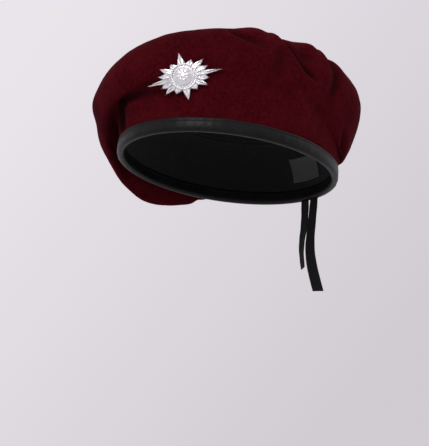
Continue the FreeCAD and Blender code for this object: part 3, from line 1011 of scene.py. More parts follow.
FOLDS = (
    # the felt's wall at the front, where the pulled-down side hangs over it
    Fold(((350, .325), (353, .33), (358, .325), (4, .305), (12, .285), (22, .255),
          (32, .225), (42, .20)), -3.4, 3.6, lip=1.6, lip_side=-1, lip_width=6,
         fade_in=0.0, fade_out=0.7, shade=1.3),
    # the pocket's crease at the front, with strong painted shade in its valley
    Fold(((344, .03), (343, .15), (345, .24), (349, .31), (354, .34)), -2.2, 4.4,
         lip=2.6, lip_side=-1, lip_width=5, fade_in=0.05, fade_out=0.3, shade=2.3),
    # lobes that stand up at the back of the wearer's left side
    Fold(((46, .80), (50, .765), (56, .735), (61, .718), (67, .705), (72, .70)),
         -3.4, 3.8, lip=3.0, lip_side=-1, lip_width=8, fade_in=0.2, fade_out=0.6),
    Fold(((79, .85), (81, .79), (84, .735), (88, .685), (92, .655), (97, .645),
          (101, .65)), -4.8, 3.2, lip=2.2, lip_side=-1, lip_width=6, fade_in=0.1,
         fade_out=0.35, shade=1.1),
    Fold(((107, .84), (107.5, .80), (107, .755), (105, .70), (103, .65), (101.5, .60)),
         2.2, 2.6, fade_in=0.2, fade_out=0.5),
    Fold(((113, .85), (113, .79), (112, .73), (110, .67), (108, .61), (106, .55)),
         -3.6, 4.2, lip=1.6, lip_side=1, lip_width=9, fade_in=0.2, fade_out=0.5,
         shade=1.2),
    Fold(((78, .74), (77, .68), (76, .60), (75.5, .50), (75, .38)), -2.0, 6.0,
         lip=1.0, lip_side=1, lip_width=10, fade_in=0.3, fade_out=0.5),
    Fold(((121, .60), (126, .55), (129, .51), (133, .46), (139, .42)), -3.0, 4.0,
         lip=1.4, lip_side=1, lip_width=6),
    # soft folds of the pulled-down right side and of the back
    Fold(((150, .78), (156, .68), (160, .58), (163, .48)), -3.0, 5.0, lip=1.8,
         lip_width=9, shade=0.5),
    Fold(((186, .82), (197, .70), (204, .58), (207, .47)), -3.4, 5.5, lip=2.0,
         lip_width=10, shade=0.4),
    Fold(((228, .76), (240, .66), (247, .56), (249, .47)), -2.6, 5.5, lip=1.8,
         lip_width=9, shade=0.45),
    Fold(((285, .50), (298, .475), (312, .47), (325, .465)), -2.4, 4.5, lip=1.6,
         lip_width=8),
    Fold(((306, .72), (318, .66), (330, .60), (340, .54)), -1.4, 8.0, lip=1.0,
         lip_width=12),
    Fold(((262, .36), (276, .345), (290, .35), (303, .36)), -1.8, 4.5, lip=1.2,
         lip_width=7),
)
SWELLINGS = (
    Swelling(64, .79, 3.2, 13.0),
    Swelling(100, .80, 4.6, 12.0),
    Swelling(91, .725, -3.2, 7.0, shade=0.9),
    Swelling(126, .70, 1.8, 16.0),
    Swelling(30, .80, -0.8, 26.0),
    # shallow hollows whose main work is painted shade in the dark pocket at the front
    Swelling(342, .10, -0.4, 10.0, shade=4.5),
    Swelling(339, .24, -0.4, 11.0, shade=5.0),
    Swelling(346, .36, -0.3, 9.0, shade=4.0),
    Swelling(215, .86, -1.8, 26.0),
)


@dataclass
class FeltCrown:
    """The milled felt shell, drawn by profiles in eight directions.

    The directions run from the front round the wearer's left. Each reach is millimetres
    out from the opening and each height is a share of the crown's own height. A ripple
    is a height and a size in millimetres, and a shift that picks a patch of the noise.
    Folds leave the felt still up to the binding's top and move it freely from held_height
    above that, and where it hangs lower, past held_share of its rows. They dent it by up
    to dent_over_panel of its thickness, and by dent_elsewhere more away from the panel.
    """

    opening: Opening
    lip_reach: tuple = (5.5, 5, 5, 5.5, 6, 7, 7, 6)
    lip_rise: tuple = (8, 8, 8, 5, 4, 3, 4, 8)
    reaches: tuple = (
        (7, 5, 5, 6.5, 6.5, 8, 9, 7),
        (12, 5.5, 5.5, 7.5, 8, 12, 16, 11),
        (15, 6, 6, 9, 9, 15, 22, 14),
        (20, 7, 7, 13, 12, 19, 30, 21),
        (26, 9, 9, 23.5, 24, 28, 35, 37),
        (15, 5, 1, 25.5, 25, 23, 25, 28))
    heights: tuple = (
        (.27, .34, .325, .2, .2, .2, .2, .29),
        (.34, .43, .415, .2, .25, .235, .2, .325),
        (.34, .485, .47, .18, .305, .18, .035, .21),
        (.34, .54, .52, .215, .36, .155, -.145, .1),
        (.505, .65, .665, .505, .56, .38, .055, .33),
        (.81, .88, .915, .83, .69, .505, .34, .6))
    upper_height: tuple = (.92, .99, 1.01, .99, .87, .72, .665, .81)
    upper_share: float = 0.56
    near_top_share: float = 0.45
    near_top_blend: float = 0.85
    top: tuple = (22.0, 2.0, 111.0)
    top_flat: float = 3.0
    edge_reach: float = 4.9
    edge_height: float = 1.5
    thick: float = 2.5
    profiles: int = 24
    net_rounds: int = 12
    columns: int = 320
    rows: int = 134
    vent_hole: float = 3.3
    vent_depth: float = 12.0
    ripples: tuple = ((0.9, 34.0, 3.1), (0.35, 11.0, 8.4), (0.12, 3.6, 5.2))
    held_share: float = 0.15
    held_height: float = 6.0
    under_badge: float = 0.15
    badge_near: float = 26.0
    badge_far: float = 44.0
    dent_over_panel: float = 0.7
    dent_elsewhere: float = 6.0
    panel_near: float = 5.0
    panel_far: float = 12.0
    inner_share: float = 0.55
    # painted crease shade on the inner face, as a share of the outer face's
    inner_shade: float = 0.3
    # summed fold shade that gives the darkest painted crease shade
    full_shade_depth: float = 4.6

    def __post_init__(self) -> None:
        """Work out the surface's control points."""
        angles = np.arange(self.profiles) * 360.0 / self.profiles
        net = np.stack([self._profile(angle) for angle in angles])
        poles = net.copy()
        for _ in range(self.net_rounds):
            around = np.roll(poles, 1, 0) + poles * 4 + np.roll(poles, -1, 0)
            poles = poles + net - around / 6
        self.poles = poles

    @staticmethod
    def _dial(settings: tuple, angle: float) -> float:
        """The value of eight settings at an angle, smooth through each of them.

        Args:
            settings: Values in the eight directions.
            angle: The direction in degrees.

        Returns:
            The value there.
        """
        count = len(settings)
        place = angle / 360.0 * count
        first = int(math.floor(place))
        f = place - first
        a, b, c, d = (settings[(first + k) % count] for k in (-1, 0, 1, 2))
        return 0.5 * (2 * b + (c - a) * f + (2 * a - 5 * b + 4 * c - d) * f ** 2
                      + (3 * b - 3 * c + d - a) * f ** 3)

    def _profile(self, angle: float) -> Points:
        """Control points of the felt's outer face in one direction.

        Args:
            angle: The direction in degrees.

        Returns:
            One point to a row, from the edge to the top.
        """
        high, binding = self.top[2], self.opening.binding_top
        reach = [self.edge_reach, self.edge_reach, self._dial(self.lip_reach, angle)]
        height = [self.edge_height, binding, binding + self._dial(self.lip_rise, angle)]
        reach += [self._dial(row, angle) for row in self.reaches]
        height += [high * self._dial(row, angle) for row in self.heights]
        side = self.opening.at(np.full(len(reach), angle), np.array(reach),
                               np.array(height))
        top, shoulder = np.array(self.top), side[-1]
        upper = top + (shoulder - top) * self.upper_share
        upper[2] = high * self._dial(self.upper_height, angle)
        near = top + (upper - top) * self.near_top_share
        near[2] = upper[2] + (top[2] - upper[2]) * self.near_top_blend
        outwards = unit((upper - top) * np.array([1.0, 1.0, 0.0]))
        return np.vstack([side, upper, near, top + outwards * self.top_flat])

    @staticmethod
    def _shares(stations: Points, count: int) -> Points:
        """Share of each of a profile's control points at each station.

        Args:
            stations: Shares of the way up the felt.
            count: Number of control points.

        Returns:
            One row to a station and one column to a control point.
        """
        cubic = 3
        last = count - cubic
        knots = np.concatenate([[0] * cubic, np.arange(last + 1),
                                [last] * cubic]).astype(float)
        place = np.clip(stations * last, 0, last - 1e-9)[:, None]
        share = ((place >= knots[:-1]) & (place < knots[1:])).astype(float)
        for degree in range(1, cubic + 1):
            spans = len(knots) - 1 - degree
            rising = knots[degree:degree + spans] - knots[:spans]
            falling = knots[degree + 1:degree + 1 + spans] - knots[1:1 + spans]
            up = (place - knots[:spans]) / np.where(rising > 0, rising, np.inf)
            down = (knots[degree + 1:degree + 1 + spans] - place) / np.where(
                falling > 0, falling, np.inf)
            share = up * share[:, :spans] + down * share[:, 1:spans + 1]
        return share

    def surface(self, directions: Points, stations: Points) -> Points:
        """Points of the felt's plain outer face, one for each direction and station.

        Args:
            directions: Angles round the opening in degrees.
            stations: Share of the way up the felt for each direction.

        Returns:
            One point to a row.
        """
        place = np.asarray(directions) / 360.0 * self.profiles
        first = np.floor(place).astype(int)
        t = place - first
        weights = np.stack([(1 - t) ** 3, 3 * t ** 3 - 6 * t ** 2 + 4,
                            -3 * t ** 3 + 3 * t ** 2 + 3 * t + 1, t ** 3], -1) / 6
        ring = sum(weights[:, k, None, None] * self.poles[(first + k - 1) % self.profiles]
                   for k in range(4))
        shares = self._shares(np.asarray(stations), self.poles.shape[1])
        return np.einsum("pr,prc->pc", shares, ring)

    def grid(self) -> Points:
        """The plain outer face as columns of points from the edge to the top.

        Returns:
            An array of columns, rows and x, y, z.
        """
        directions = np.arange(self.columns) * 360.0 / self.columns
        stations = np.linspace(0.0, 1.0, self.rows)
        every_direction = np.repeat(directions, self.rows)
        every_station = np.tile(stations, self.columns)
        points = self.surface(every_direction, every_station)
        return points.reshape(self.columns, self.rows, 3)

    @staticmethod
    def normals(grid: Points) -> Points:
        """The way out of a grid that is closed round its columns.

        Args:
            grid: The points, as columns, rows and x, y, z.

        Returns:
            A unit vector for each point, in the same order.
        """
        around = np.roll(grid, -1, 0) - np.roll(grid, 1, 0)
        upwards = np.gradient(grid, axis=1)
        ways = unit(np.cross(around, upwards))
        wall = 5  # a row low on the wall, where the way out leads off the axis
        outside = (ways[:, wall] * (grid[:, wall] * np.array([1, 1, 0]))).sum()
        return ways if outside > 0 else -ways

    def draped(self) -> tuple:
        """Work out both faces of the felt with its folds.

        Returns:
            The outer face and the inner face, each as columns, rows and x, y, z, and how much
            painted crease shade each point gets, from 0 to 1.
        """
        plain = self.grid()
        ways = self.normals(plain)
        flat, flat_ways = plain.reshape(-1, 3), ways.reshape(-1, 3)
        changes = [item.change(self, flat, flat_ways) for item in FOLDS + SWELLINGS]
        moved = sum(moved for moved, _ in changes).reshape(self.columns, self.rows)
        # add up the painted shade of every fold and hollow
        crease_shade = sum(deep for _, deep in changes).reshape(self.columns, self.rows)
        for height, scale, seed in self.ripples:
            moved = moved + height * cloth_noise(plain, scale, seed)
        binding_top = self.opening.binding_top
        free = smooth_step(plain[..., 2], binding_top, binding_top + self.held_height)
        past_binding = np.arange(self.rows)[None, :] > self.rows * self.held_share
        hangs_low = (plain[..., 2] < binding_top) & past_binding
        free = np.where(hangs_low, 1.0, free)
        moved = moved * free * self._clear_of_badge(plain)
        moved = np.maximum(moved, -self.thick * self.dent_over_panel
                           - self.dent_elsewhere * self._off_panel(plain))
        outer = plain + ways * moved[..., None]
        inner = plain + ways * (self.inner_share * moved - self.thick)[..., None]
        crease_shade = np.clip(crease_shade / self.full_shade_depth, 0.0, 1.0)
        return outer, inner, crease_shade

    def _clear_of_badge(self, points: Points) -> Points:
        """Work out how freely the felt moves, so that the badge lies on smooth felt.

        Args:
            points: Points of the felt's plain outer face.

        Returns:
            under_badge at the middle of the badge, rising to 1 away from it.
        """
        centre = box_middle(node_points("badge_plate"))
        distance = np.linalg.norm(points - centre, axis=-1)
        away = smooth_step(distance, self.badge_near, self.badge_far)
        return self.under_badge + (1 - self.under_badge) * away

    def _off_panel(self, points: Points) -> Points:
        """Work out how far the felt is from the stiffening panel.

        Args:
            points: Points of the felt's plain outer face.

        Returns:
            0 where the panel lies close behind the felt, rising to 1 away from it.
        """
        panel = node_points("badge_stiffener")
        tree = kdtree.KDTree(len(panel))
        for index, place in enumerate(panel):
            tree.insert(place, index)
        tree.balance()
        near = [tree.find(place)[2] for place in points.reshape(-1, 3)]
        distance = np.array(near).reshape(points.shape[:-1])
        return smooth_step(distance, self.panel_near, self.panel_far)

    def _vents(self) -> list:
        """Centre and axis of each vent, from the CAD eyelets and washers.

        Returns:
            A pair of vectors for each vent.
        """
        eyelets, washers = node_points("vent_eyelets"), node_points("vent_washers")
        found = []
        for side in (-1, 1):
            centre = box_middle(eyelets[eyelets[:, 1] * side > 0])
            behind = box_middle(washers[washers[:, 1] * side > 0])
            found.append((centre, unit(centre - behind)))
        return found

    def _open_vents(self, points: Points, faces: list) -> list:
        """Cut round vent holes in the felt and give back the faces that are left.

        Args:
            points: Every point of the felt, which this moves to the holes' rims.
            faces: Corner indices of each face.

        Returns:
            The faces that no hole takes away.
        """
        inside = np.zeros(len(points), bool)
        for centre, axis in self._vents():
            offset = points - centre
            along = offset @ axis
            radial = offset - along[:, None] * axis
            distance = np.linalg.norm(radial, axis=-1)
            hit = (distance < self.vent_hole) & (np.abs(along) < self.vent_depth)
            points[hit] = (centre + along[hit, None] * axis
                           + unit(radial[hit]) * self.vent_hole)
            inside |= hit
        return [face for face in faces if not all(inside[corner] for corner in face)]

    def build(self, material: bpy.types.Material) -> bpy.types.Object:
        """Build the felt as one thick piece.

        Args:
            material: The felt.

        Returns:
            The piece.
        """
        outer, inner, crease_shade = self.draped()
        tops = [outer[:, -1].mean(0), inner[:, -1].mean(0)]
        points = np.vstack([outer.reshape(-1, 3), inner.reshape(-1, 3), tops])
        faces = self._open_vents(points, shell_faces(self.columns, self.rows, True))
        piece = make_piece("felt", points, faces)
        outer_shade = crease_shade.ravel()
        # store the painted crease shade under the name fold, fainter on the inner face
        store_values(piece, "fold", np.concatenate([
            outer_shade, outer_shade * self.inner_shade, [0.0, 0.0]]))
        finish_piece(piece, material, Slot.FELT, "felt_crown")
        return piece


# ---------------------------------------------------------------- the binding
@dataclass
class Binding:
    """The leather strip folded over the felt's edge, with its stitching.

    A ripple, or the wave of the upper edge, is a height and a size in millimetres, and
    a shift that picks a patch of the noise.
    """

    opening: Opening
    recipe: bpy.types.GeometryNodeTree
    wall: float = 5.9
    leather: float = 1.0
    puff: float = 0.55
    stitch_level: float = 9.4
    stitch_spacing: float = 3.0
    stitch_long: float = 2.1
    stitch_thick: float = 0.55
    mean_radius: float = 93.0
    swell_height: float = 12.5
    ripples: tuple = ((0.34, 9.0, 2.7), (0.16, 3.0, 6.1))
    ripple_squash: float = 0.18
    pucker: float = 0.34
    pucker_width: float = 0.75
    wave: tuple = (0.3, 14.0, 1.9)
    columns: int = 440
    slot_half_width: float = 12.0
    slot_front: float = 102.0
    slot_back: float = 104.6

    def _section(self) -> Points:
        """Closed outline of the folded strip: reach and height of each point.

        Returns:
            One point to a row, in millimetres.
        """
        wall, leather, top = self.wall, self.leather, self.opening.binding_top
        outside = [(wall, level) for level in np.linspace(top - 0.35, 2.8, 13)]
        fold = [(wall - 0.25, 1.5), (wall - 1.1, 0.5), (wall / 2 + 0.8, 0.08),
                (wall / 2 - 0.8, 0.08), (1.1, 0.5), (0.25, 1.5)]
        inside = [(0.0, level) for level in np.linspace(2.8, top - 0.35, 8)]
        inner_rim = [(leather * 0.3, top), (leather * 0.8, top)]
        channel = [(leather, top - 0.5), (leather, 6.0), (leather, 1.5),
                   (leather + 0.5, 1.1), (wall - leather - 0.5, 1.1),
                   (wall - leather, 1.5), (wall - leather, 6.0),
                   (wall - leather, top - 0.5)]
        outer_rim = [(wall - leather * 0.8, top), (wall - leather * 0.3, top)]
        return np.array(outside + fold + inside + inner_rim + channel + outer_rim)

    def _outer_reach(self, directions: Points, heights: Points) -> Points:
        """How far the strip's outer face swells beyond its plain wall.

        Args:
            directions: Angles round the opening in degrees.
            heights: Millimetres up the strip for each direction.

        Returns:
            Millimetres for each direction.
        """
        angle = np.radians(directions)
        around = np.stack([np.cos(angle) * self.mean_radius, np.sin(angle) * self.mean_radius,
                           heights * self.ripple_squash], -1)
        swell = self.puff * np.sin(np.pi * np.clip(heights / self.swell_height, 0, 1))
        ripple = sum(height * cloth_noise(around, scale, seed)
                     for height, scale, seed in self.ripples)
        from_seam = (heights - self.stitch_level) / self.pucker_width
        return swell + ripple - self.pucker * np.exp(-from_seam ** 2)

    def build(self, leather: bpy.types.Material, thread: bpy.types.Material) -> None:
        """Build the strip, cut the drawstring's slot and sew the strip on.

        Args:
            leather: The strip's material.
            thread: The stitches' material.
        """
        section = self._section()
        rows = len(section)
        directions = np.repeat(np.arange(self.columns) * 360.0 / self.columns, rows)
        reach = np.tile(section[:, 0], self.columns)
        height = np.tile(section[:, 1], self.columns)
        swell = self._outer_reach(directions, height)
        share = smooth_step(reach, self.wall - 1.2, self.wall)
        inner_share = 0.35 * (1.0 - smooth_step(reach, 0.0, 0.5))
        reach = reach + swell * share + np.maximum(-swell, -0.3) * inner_share
        lift, scale, seed = self.wave
        edge = self.opening.at(directions, 0 * reach, 0 * reach)
        wave = lift * cloth_noise(edge, scale, seed)
        height = height + wave * smooth_step(height, 8.0, 12.0)
        points = self.opening.at(directions, reach, height)
        faces = grid_faces(self.columns, rows)
        for column in range(self.columns):
            here, after = column * rows, (column + 1) % self.columns * rows
            faces.append([here + rows - 1, after + rows - 1, after, here])
        piece = make_piece("binding", points, faces)
        self._cut_slot(piece)
        finish_piece(piece, leather, Slot.LEATHER, "leather_binding")
        self._sew(thread)

    def _cut_slot(self, piece: bpy.types.Object) -> None:
        """Cut the slot in the fold at the back, where both ribbon ends come out.

        Args:
            piece: The strip, which changes.
        """
        low = Vector((-self.slot_half_width, self.slot_front, -2.0)) * MM
        high = Vector((self.slot_half_width, self.slot_back, 2.2)) * MM
        work = bmesh.new()
        bmesh.ops.create_cube(work, size=1.0)
        for corner in work.verts:
            for axis in range(3):
                middle, spread = (low[axis] + high[axis]) / 2, high[axis] - low[axis]
                corner.co[axis] = middle + corner.co[axis] * spread
        mesh = bpy.data.meshes.new("slot_tool")
        work.to_mesh(mesh)
        work.free()
        tool = bpy.data.objects.new("slot_tool", mesh)
        bpy.context.scene.collection.objects.link(tool)
        opening = piece.modifiers.new("slot", "BOOLEAN")
        opening.operation = "DIFFERENCE"
        opening.object = tool
        baked(piece)
        bpy.data.objects.remove(tool)

    def _sew(self, thread: bpy.types.Material) -> None:
        """Sew a row of stitches through both leaves.

        Args:
            thread: The stitches' material.
        """
        directions = np.arange(0.0, 360.0, 0.5)
        level = np.full(len(directions), self.stitch_level)
        row = RoundedRow(self.recipe, self.stitch_spacing, self.stitch_long,
                         self.stitch_thick)
        outer = self.wall + self._outer_reach(directions, level) + 0.02
        for name, reach in (("outer_stitches", outer),
                            ("inner_stitches", np.full(len(directions), -0.08))):
            line = self.opening.at(directions, reach, level)
            finish_piece(row.build(name, line, thread), thread, Slot.LEATHER)


# ------------------------------------------------------------- the drawstring
@dataclass
class RibbonTail:
    """One end of the drawstring, which hangs from the slot at the back.

    The route is measured from the slot: millimetres back and up. Side is 1 on the
    wearer's left and -1 on the right. Twist and turn are in degrees, and the cut end
    slants by slant at each edge.
    """

    name: str
    body: str
    node: str
    side: int
    route: tuple
    length: float
    twist: float
    turn: float
    slant: float
    width: float = 10.0
    thick: float = 0.8
    spacing: float = 6.0
    slot_middle: float = 103.3
    slot_height: float = -0.3
    cup: float = 0.28
    ripple: float = 0.10
    steps: int = 96
    across: int = 12

    def _centreline(self) -> Points:
        """Even points along the smooth curve that the route's points control.

        Returns:
            One point to a row, in millimetres.
        """
        curve = bpy.data.curves.new(self.name + "_line", "CURVE")
        curve.dimensions = "3D"
        curve.resolution_u = 24
        spline = curve.splines.new("NURBS")
        spline.points.add(len(self.route) - 1)
        for point, (back, up) in zip(spline.points, self.route):
            point.co = (self.side * self.spacing * MM, (self.slot_middle + back) * MM,
                        (self.slot_height + up) * MM, 1.0)
        spline.order_u = 3
        spline.use_endpoint_u = True
        holder = bpy.data.objects.new(self.name + "_line", curve)
        bpy.context.scene.collection.objects.link(holder)
        mesh = bpy.data.meshes.new_from_object(holder)
        flat = np.array([vertex.co[:] for vertex in mesh.vertices]) / MM
        bpy.data.objects.remove(holder)
        travelled = np.concatenate([[0], np.cumsum(np.linalg.norm(np.diff(flat, axis=0),
                                                                  axis=1))])
        even = np.linspace(0, travelled[-1], self.steps)
        return np.stack([np.interp(even, travelled, flat[:, k]) for k in range(3)], -1)

    def build(self, material: bpy.types.Material) -> bpy.types.Object:
        """Args:
            material: The ribbon's material.

        Returns:
            The piece.
        """
        line = self._centreline()
        heading = unit(np.gradient(line, axis=0))
        share = np.linspace(0, 1, self.steps)
        turned = np.radians(self.turn * smooth_step(share, 0.0, 0.5)
                            + self.twist * smooth_step(share, 0.35, 1.0))[:, None]
        flat = np.array([1.0, 0.0, 0.0])
        flat = unit(flat - heading * (heading @ flat)[:, None])
        up = np.cross(heading, flat)
        wide = flat * np.cos(turned) + up * np.sin(turned)
        out = np.cross(heading, wide)
        spread = np.linspace(-1, 1, self.across + 1)
        edge = 0.62 + 0.38 * smooth_step(np.abs(spread), 0.72, 0.86)
        edge = edge * (1 - 0.55 * smooth_step(np.abs(spread), 0.93, 1.0))
        section = [(s, e) for s, e in zip(spread, edge)]
        section += [(s, -e) for s, e in zip(spread[::-1], edge[::-1])]
        rows, rings = len(section), []
        for s, e in section:
            cup = self.cup * (s * s - 0.4) * smooth_step(share, 0.05, 0.4)
            ripple = self.ripple * np.sin(share * 31.0 + s * 1.7) * abs(s)
            lift = e * self.thick / 2 + cup + ripple
            slide = self.slant * s * smooth_step(share, 0.9, 1.0)
            rings.append(line + wide * (s * self.width / 2) + out * lift[:, None]
                         + heading * slide[:, None])
        points = np.stack(rings, 1)
        faces = []
        arc = share * self.length
        for step in range(self.steps - 1):
            for row in range(rows):
                after = (row + 1) % rows
                faces.append([step * rows + row, step * rows + after,
                              (step + 1) * rows + after, (step + 1) * rows + row])
        for step in (0, self.steps - 1):
            for row in range(self.across):
                faces.append([step * rows + row, step * rows + row + 1,
                              step * rows + rows - 2 - row, step * rows + rows - 1 - row])
        piece = make_piece(self.name, points, faces)
        maps = np.array([[section[k % rows][0] * self.width / 2, arc[k // rows]]
                         for k in range(self.steps * rows)]) * MM
        store_map(piece, "weave", maps)
        piece.data.materials.append(material)
        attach(piece, self.body)
        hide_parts(self.node)
        log.info("%s: %d faces", piece.name, len(faces))
        return piece


LEFT_ROUTE = ((0.0, 0.0), (-0.7, -16.0), (-2.1, -33.0), (-2.7, -49.0), (0.3, -63.5),
              (5.6, -77.0), (11.0, -88.5))
RIGHT_ROUTE = ((0.0, 0.0), (0.9, -13.0), (0.4, -27.5), (-1.6, -41.0), (-1.4, -54.5),
               (1.6, -66.5))


# ----------------------------------------------------------------- the lining
@dataclass
class Lining:
    """The cloth dome inside, in a side piece and a top piece, with a blank label.

    The top piece's rows stop at top_rise and close at one point. The second number of
    label_centre is a share of the opening's half length.
    """

    opening: Opening
    recipe: bpy.types.GeometryNodeTree
    beyond: float = 1.0
    height: float = 70.0
    seam_rise: float = 44.0
    thick: float = 0.6
    columns: int = 240
    top_rise: float = 0.985
    cloth_radius: float = 92.0
    cloth_tall: float = 130.0
    loose_folds: tuple = (0.9, 21.0, 4.4)
    fold_stretch: float = 0.45
    fine_creases: tuple = (0.5, 8.0, 7.7)
    label_gap: float = 0.12
    label_thick: float = 0.5
    label_columns: int = 25
    label_rows: int = 17
    label_centre: tuple = (0.0, 0.85, 41.0)
    label_near: float = 24.0
    label_far: float = 40.0

    def _dome(self, directions: Points, rises: Points, inset: Points) -> Points:
        """Points of the dome at these shares of a quarter turn up, moved inwards.

        Args:
            directions: Angles round the opening in degrees.
            rises: Shares of a quarter turn up.
            inset: Millimetres inwards.

        Returns:
            One point to a row.
        """
        lean = rises * np.pi / 2
        angle = np.radians(directions)
        wide = self.opening.half_width + self.beyond - inset
        long = self.opening.half_length + self.beyond - inset
        base = self.opening.binding_top
        return np.stack([wide * np.cos(lean) * np.sin(angle),
                         -long * np.cos(lean) * np.cos(angle),
                         base + (self.height - inset) * np.sin(lean)], -1)

    def _wrinkles(self, places: Points, rises: Points) -> Points:
        """How far the loose cloth falls inwards.

        Args:
            places: Points of the plain dome.
            rises: Their shares of a quarter turn up.

        Returns:
            Millimetres for each point.
        """
        fall, scale, seed = self.loose_folds
        stretched = places * np.array([1, 1, self.fold_stretch])
        soft = fall * np.abs(cloth_noise(stretched, scale, seed))
        fall, scale, seed = self.fine_creases
        fine = fall * np.abs(cloth_noise(places, scale, seed))
        label = np.array(self.label_centre)
        label[1] *= self.opening.half_length
        away = smooth_step(np.linalg.norm(places - label, axis=-1), self.label_near,
                           self.label_far)
        return (soft + fine) * away * smooth_step(rises, 0.02, 0.15)

    def _cloth(self, name: str, low: float, high: float, rows: int, seam: Points,
               material: bpy.types.Material, node: str) -> None:
        """Build one cloth piece between two shares of the way up.

        Args:
            name: Name of the piece.
            low: Share of a quarter turn where it starts.
            high: Share where it ends; 1 closes it at the top.
            rows: Number of points in a column.
            seam: How far each row stands inwards for the turned seam.
            material: The cloth.
            node: The CAD node that it stands for.
        """
        directions = np.repeat(np.arange(self.columns) * 360.0 / self.columns, rows)
        closed_top = high >= 1
        end = self.top_rise if closed_top else high
        rises = np.tile(np.linspace(low, end, rows), self.columns)
        plain = self._dome(directions, rises, 0 * rises)
        fall = self._wrinkles(plain, rises) + np.tile(seam, self.columns)
        outer = self._dome(directions, rises, fall)
        inner = self._dome(directions, rises, fall + self.thick)
        points = [outer, inner]
        faces = shell_faces(self.columns, rows, closed_top)
        maps = np.stack([np.radians(directions) * self.cloth_radius,
                         rises * self.cloth_tall], -1) * MM
        maps = np.vstack([maps, maps])
        if closed_top:
            peak = self.opening.binding_top + self.height
            points.append(np.array([[0, 0, peak], [0, 0, peak - self.thick]]))
            maps = np.vstack([maps, [[0, self.cloth_tall * MM]] * 2])
        piece = make_piece(name, np.vstack(points), faces)
        store_map(piece, "cloth", maps)
        finish_piece(piece, material, Slot.LINING, node)

    def _label(self, material: bpy.types.Material, thread: bpy.types.Material) -> None:
        """Build the blank label and sew it on round its edge.

        Args:
            material: The label's material.
            thread: The stitches' material.
        """
        low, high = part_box("size_label")
        half_wide, low_z, high_z = high.x / MM, low.z / MM, high.z / MM
        columns, rows = self.label_columns, self.label_rows
        last_column, last_row, count = columns - 1, rows - 1, columns * rows
        x = np.repeat(np.linspace(-1, 1, columns), rows)
        z = np.tile(np.linspace(0, 1, rows), columns)
        faces = []
        for start, flip in ((0, False), (count, True)):
            for column in range(last_column):
                for row in range(last_row):
                    here = start + column * rows + row
                    corners = [here, here + rows, here + rows + 1, here + 1]
                    faces.append(corners[::-1] if flip else corners)
        rim = [column * rows for column in range(columns)]
        rim += [last_column * rows + row for row in range(1, rows)]
        rim += [column * rows + last_row for column in range(last_column - 1, -1, -1)]
        rim += list(range(last_row - 1, 0, -1))
        for here, after in zip(rim, rim[1:] + rim[:1]):
            faces.append([here, after, count + after, count + here])
        side_curl, end_curl, ripple_height = 0.35, 0.2, 0.12
        curl = side_curl * np.abs(x) ** 6 + end_curl * np.abs(2 * z - 1) ** 6
        ripple = ripple_height * np.sin(x * 5.0 + z * 3.0)
        layers = []
        under = self.thick + self.label_gap
        for inset in (under, under + self.label_thick):
            layers.append(self._on_dome(x * half_wide, low_z + z * (high_z - low_z),
                                        inset + curl + ripple))
        piece = make_piece("blank_label", np.vstack(layers), faces)
        flat = np.stack([x * half_wide, z * (high_z - low_z)], -1) * MM
        store_map(piece, "cloth", np.vstack([flat, flat]))
        finish_piece(piece, material, Slot.LABEL, "size_label")
        seam_across, seam_up, thread_gap = 0.93, 0.89, 0.16
        edge_x, edge_z = x[rim] * seam_across, 0.5 + (z[rim] - 0.5) * seam_up
        inset = self.thick + thread_gap + self.label_thick + np.zeros(len(rim))
        line = self._on_dome(edge_x * half_wide, low_z + edge_z * (high_z - low_z), inset)
        row = RoundedRow(self.recipe, spacing=2.4, long=1.6, thick=0.4)
        finish_piece(row.build("label_stitches", line, thread), thread, Slot.LABEL)

    def _on_dome(self, x: Points, z: Points, inset: Points) -> Points:
        """Points at the back of the dome, at these places across and up.

        Args:
            x: Millimetres across.
            z: Millimetres up.
            inset: Millimetres inwards.

        Returns:
            One point to a row.
        """
        wide = self.opening.half_width + self.beyond - inset
        long = self.opening.half_length + self.beyond - inset
        tall = self.height - inset
        rise = (z - self.opening.binding_top) / tall
        back = long * np.sqrt(np.maximum(1 - (x / wide) ** 2 - rise ** 2, 0.0))
        return np.stack([x, back, z], -1)

    def build(self, cloth: bpy.types.Material, label: bpy.types.Material,
              thread: bpy.types.Material) -> None:
        """Build both cloth pieces, their seam and the label.

        Args:
            cloth: The lining's material.
            label: The label's material.
            thread: The stitches' material.
        """
        seam = math.asin(self.seam_rise / self.height) / (math.pi / 2)
        side_rows, top_rows = 40, 52
        seam_rows, side_stand, top_stand = 1.6, 1.1, 0.9
        from_seam = np.arange(side_rows) - side_rows + 2
        turned = np.exp(-(from_seam / seam_rows) ** 2) * side_stand
        self._cloth("side_lining", 0.0, seam, side_rows, turned, cloth, "lining_side")
        turned = np.exp(-((np.arange(top_rows) - 1) / seam_rows) ** 2) * top_stand
        self._cloth("top_lining", seam, 1.0, top_rows, turned, cloth, "lining_crown")
        below_seam = 0.035
        directions = np.arange(0.0, 360.0, 0.75)
        rise = np.full(len(directions), seam - below_seam)
        plain = self._dome(directions, rise, 0 * rise)
        inset = self._wrinkles(plain, rise) + self.thick + 0.3
        line = self._dome(directions, rise, inset)
        row = RoundedRow(self.recipe, spacing=3.2, long=2.3, thick=0.5)
        finish_piece(row.build("seam_stitches", line, thread), thread, Slot.LINING)
        self._label(label, thread)


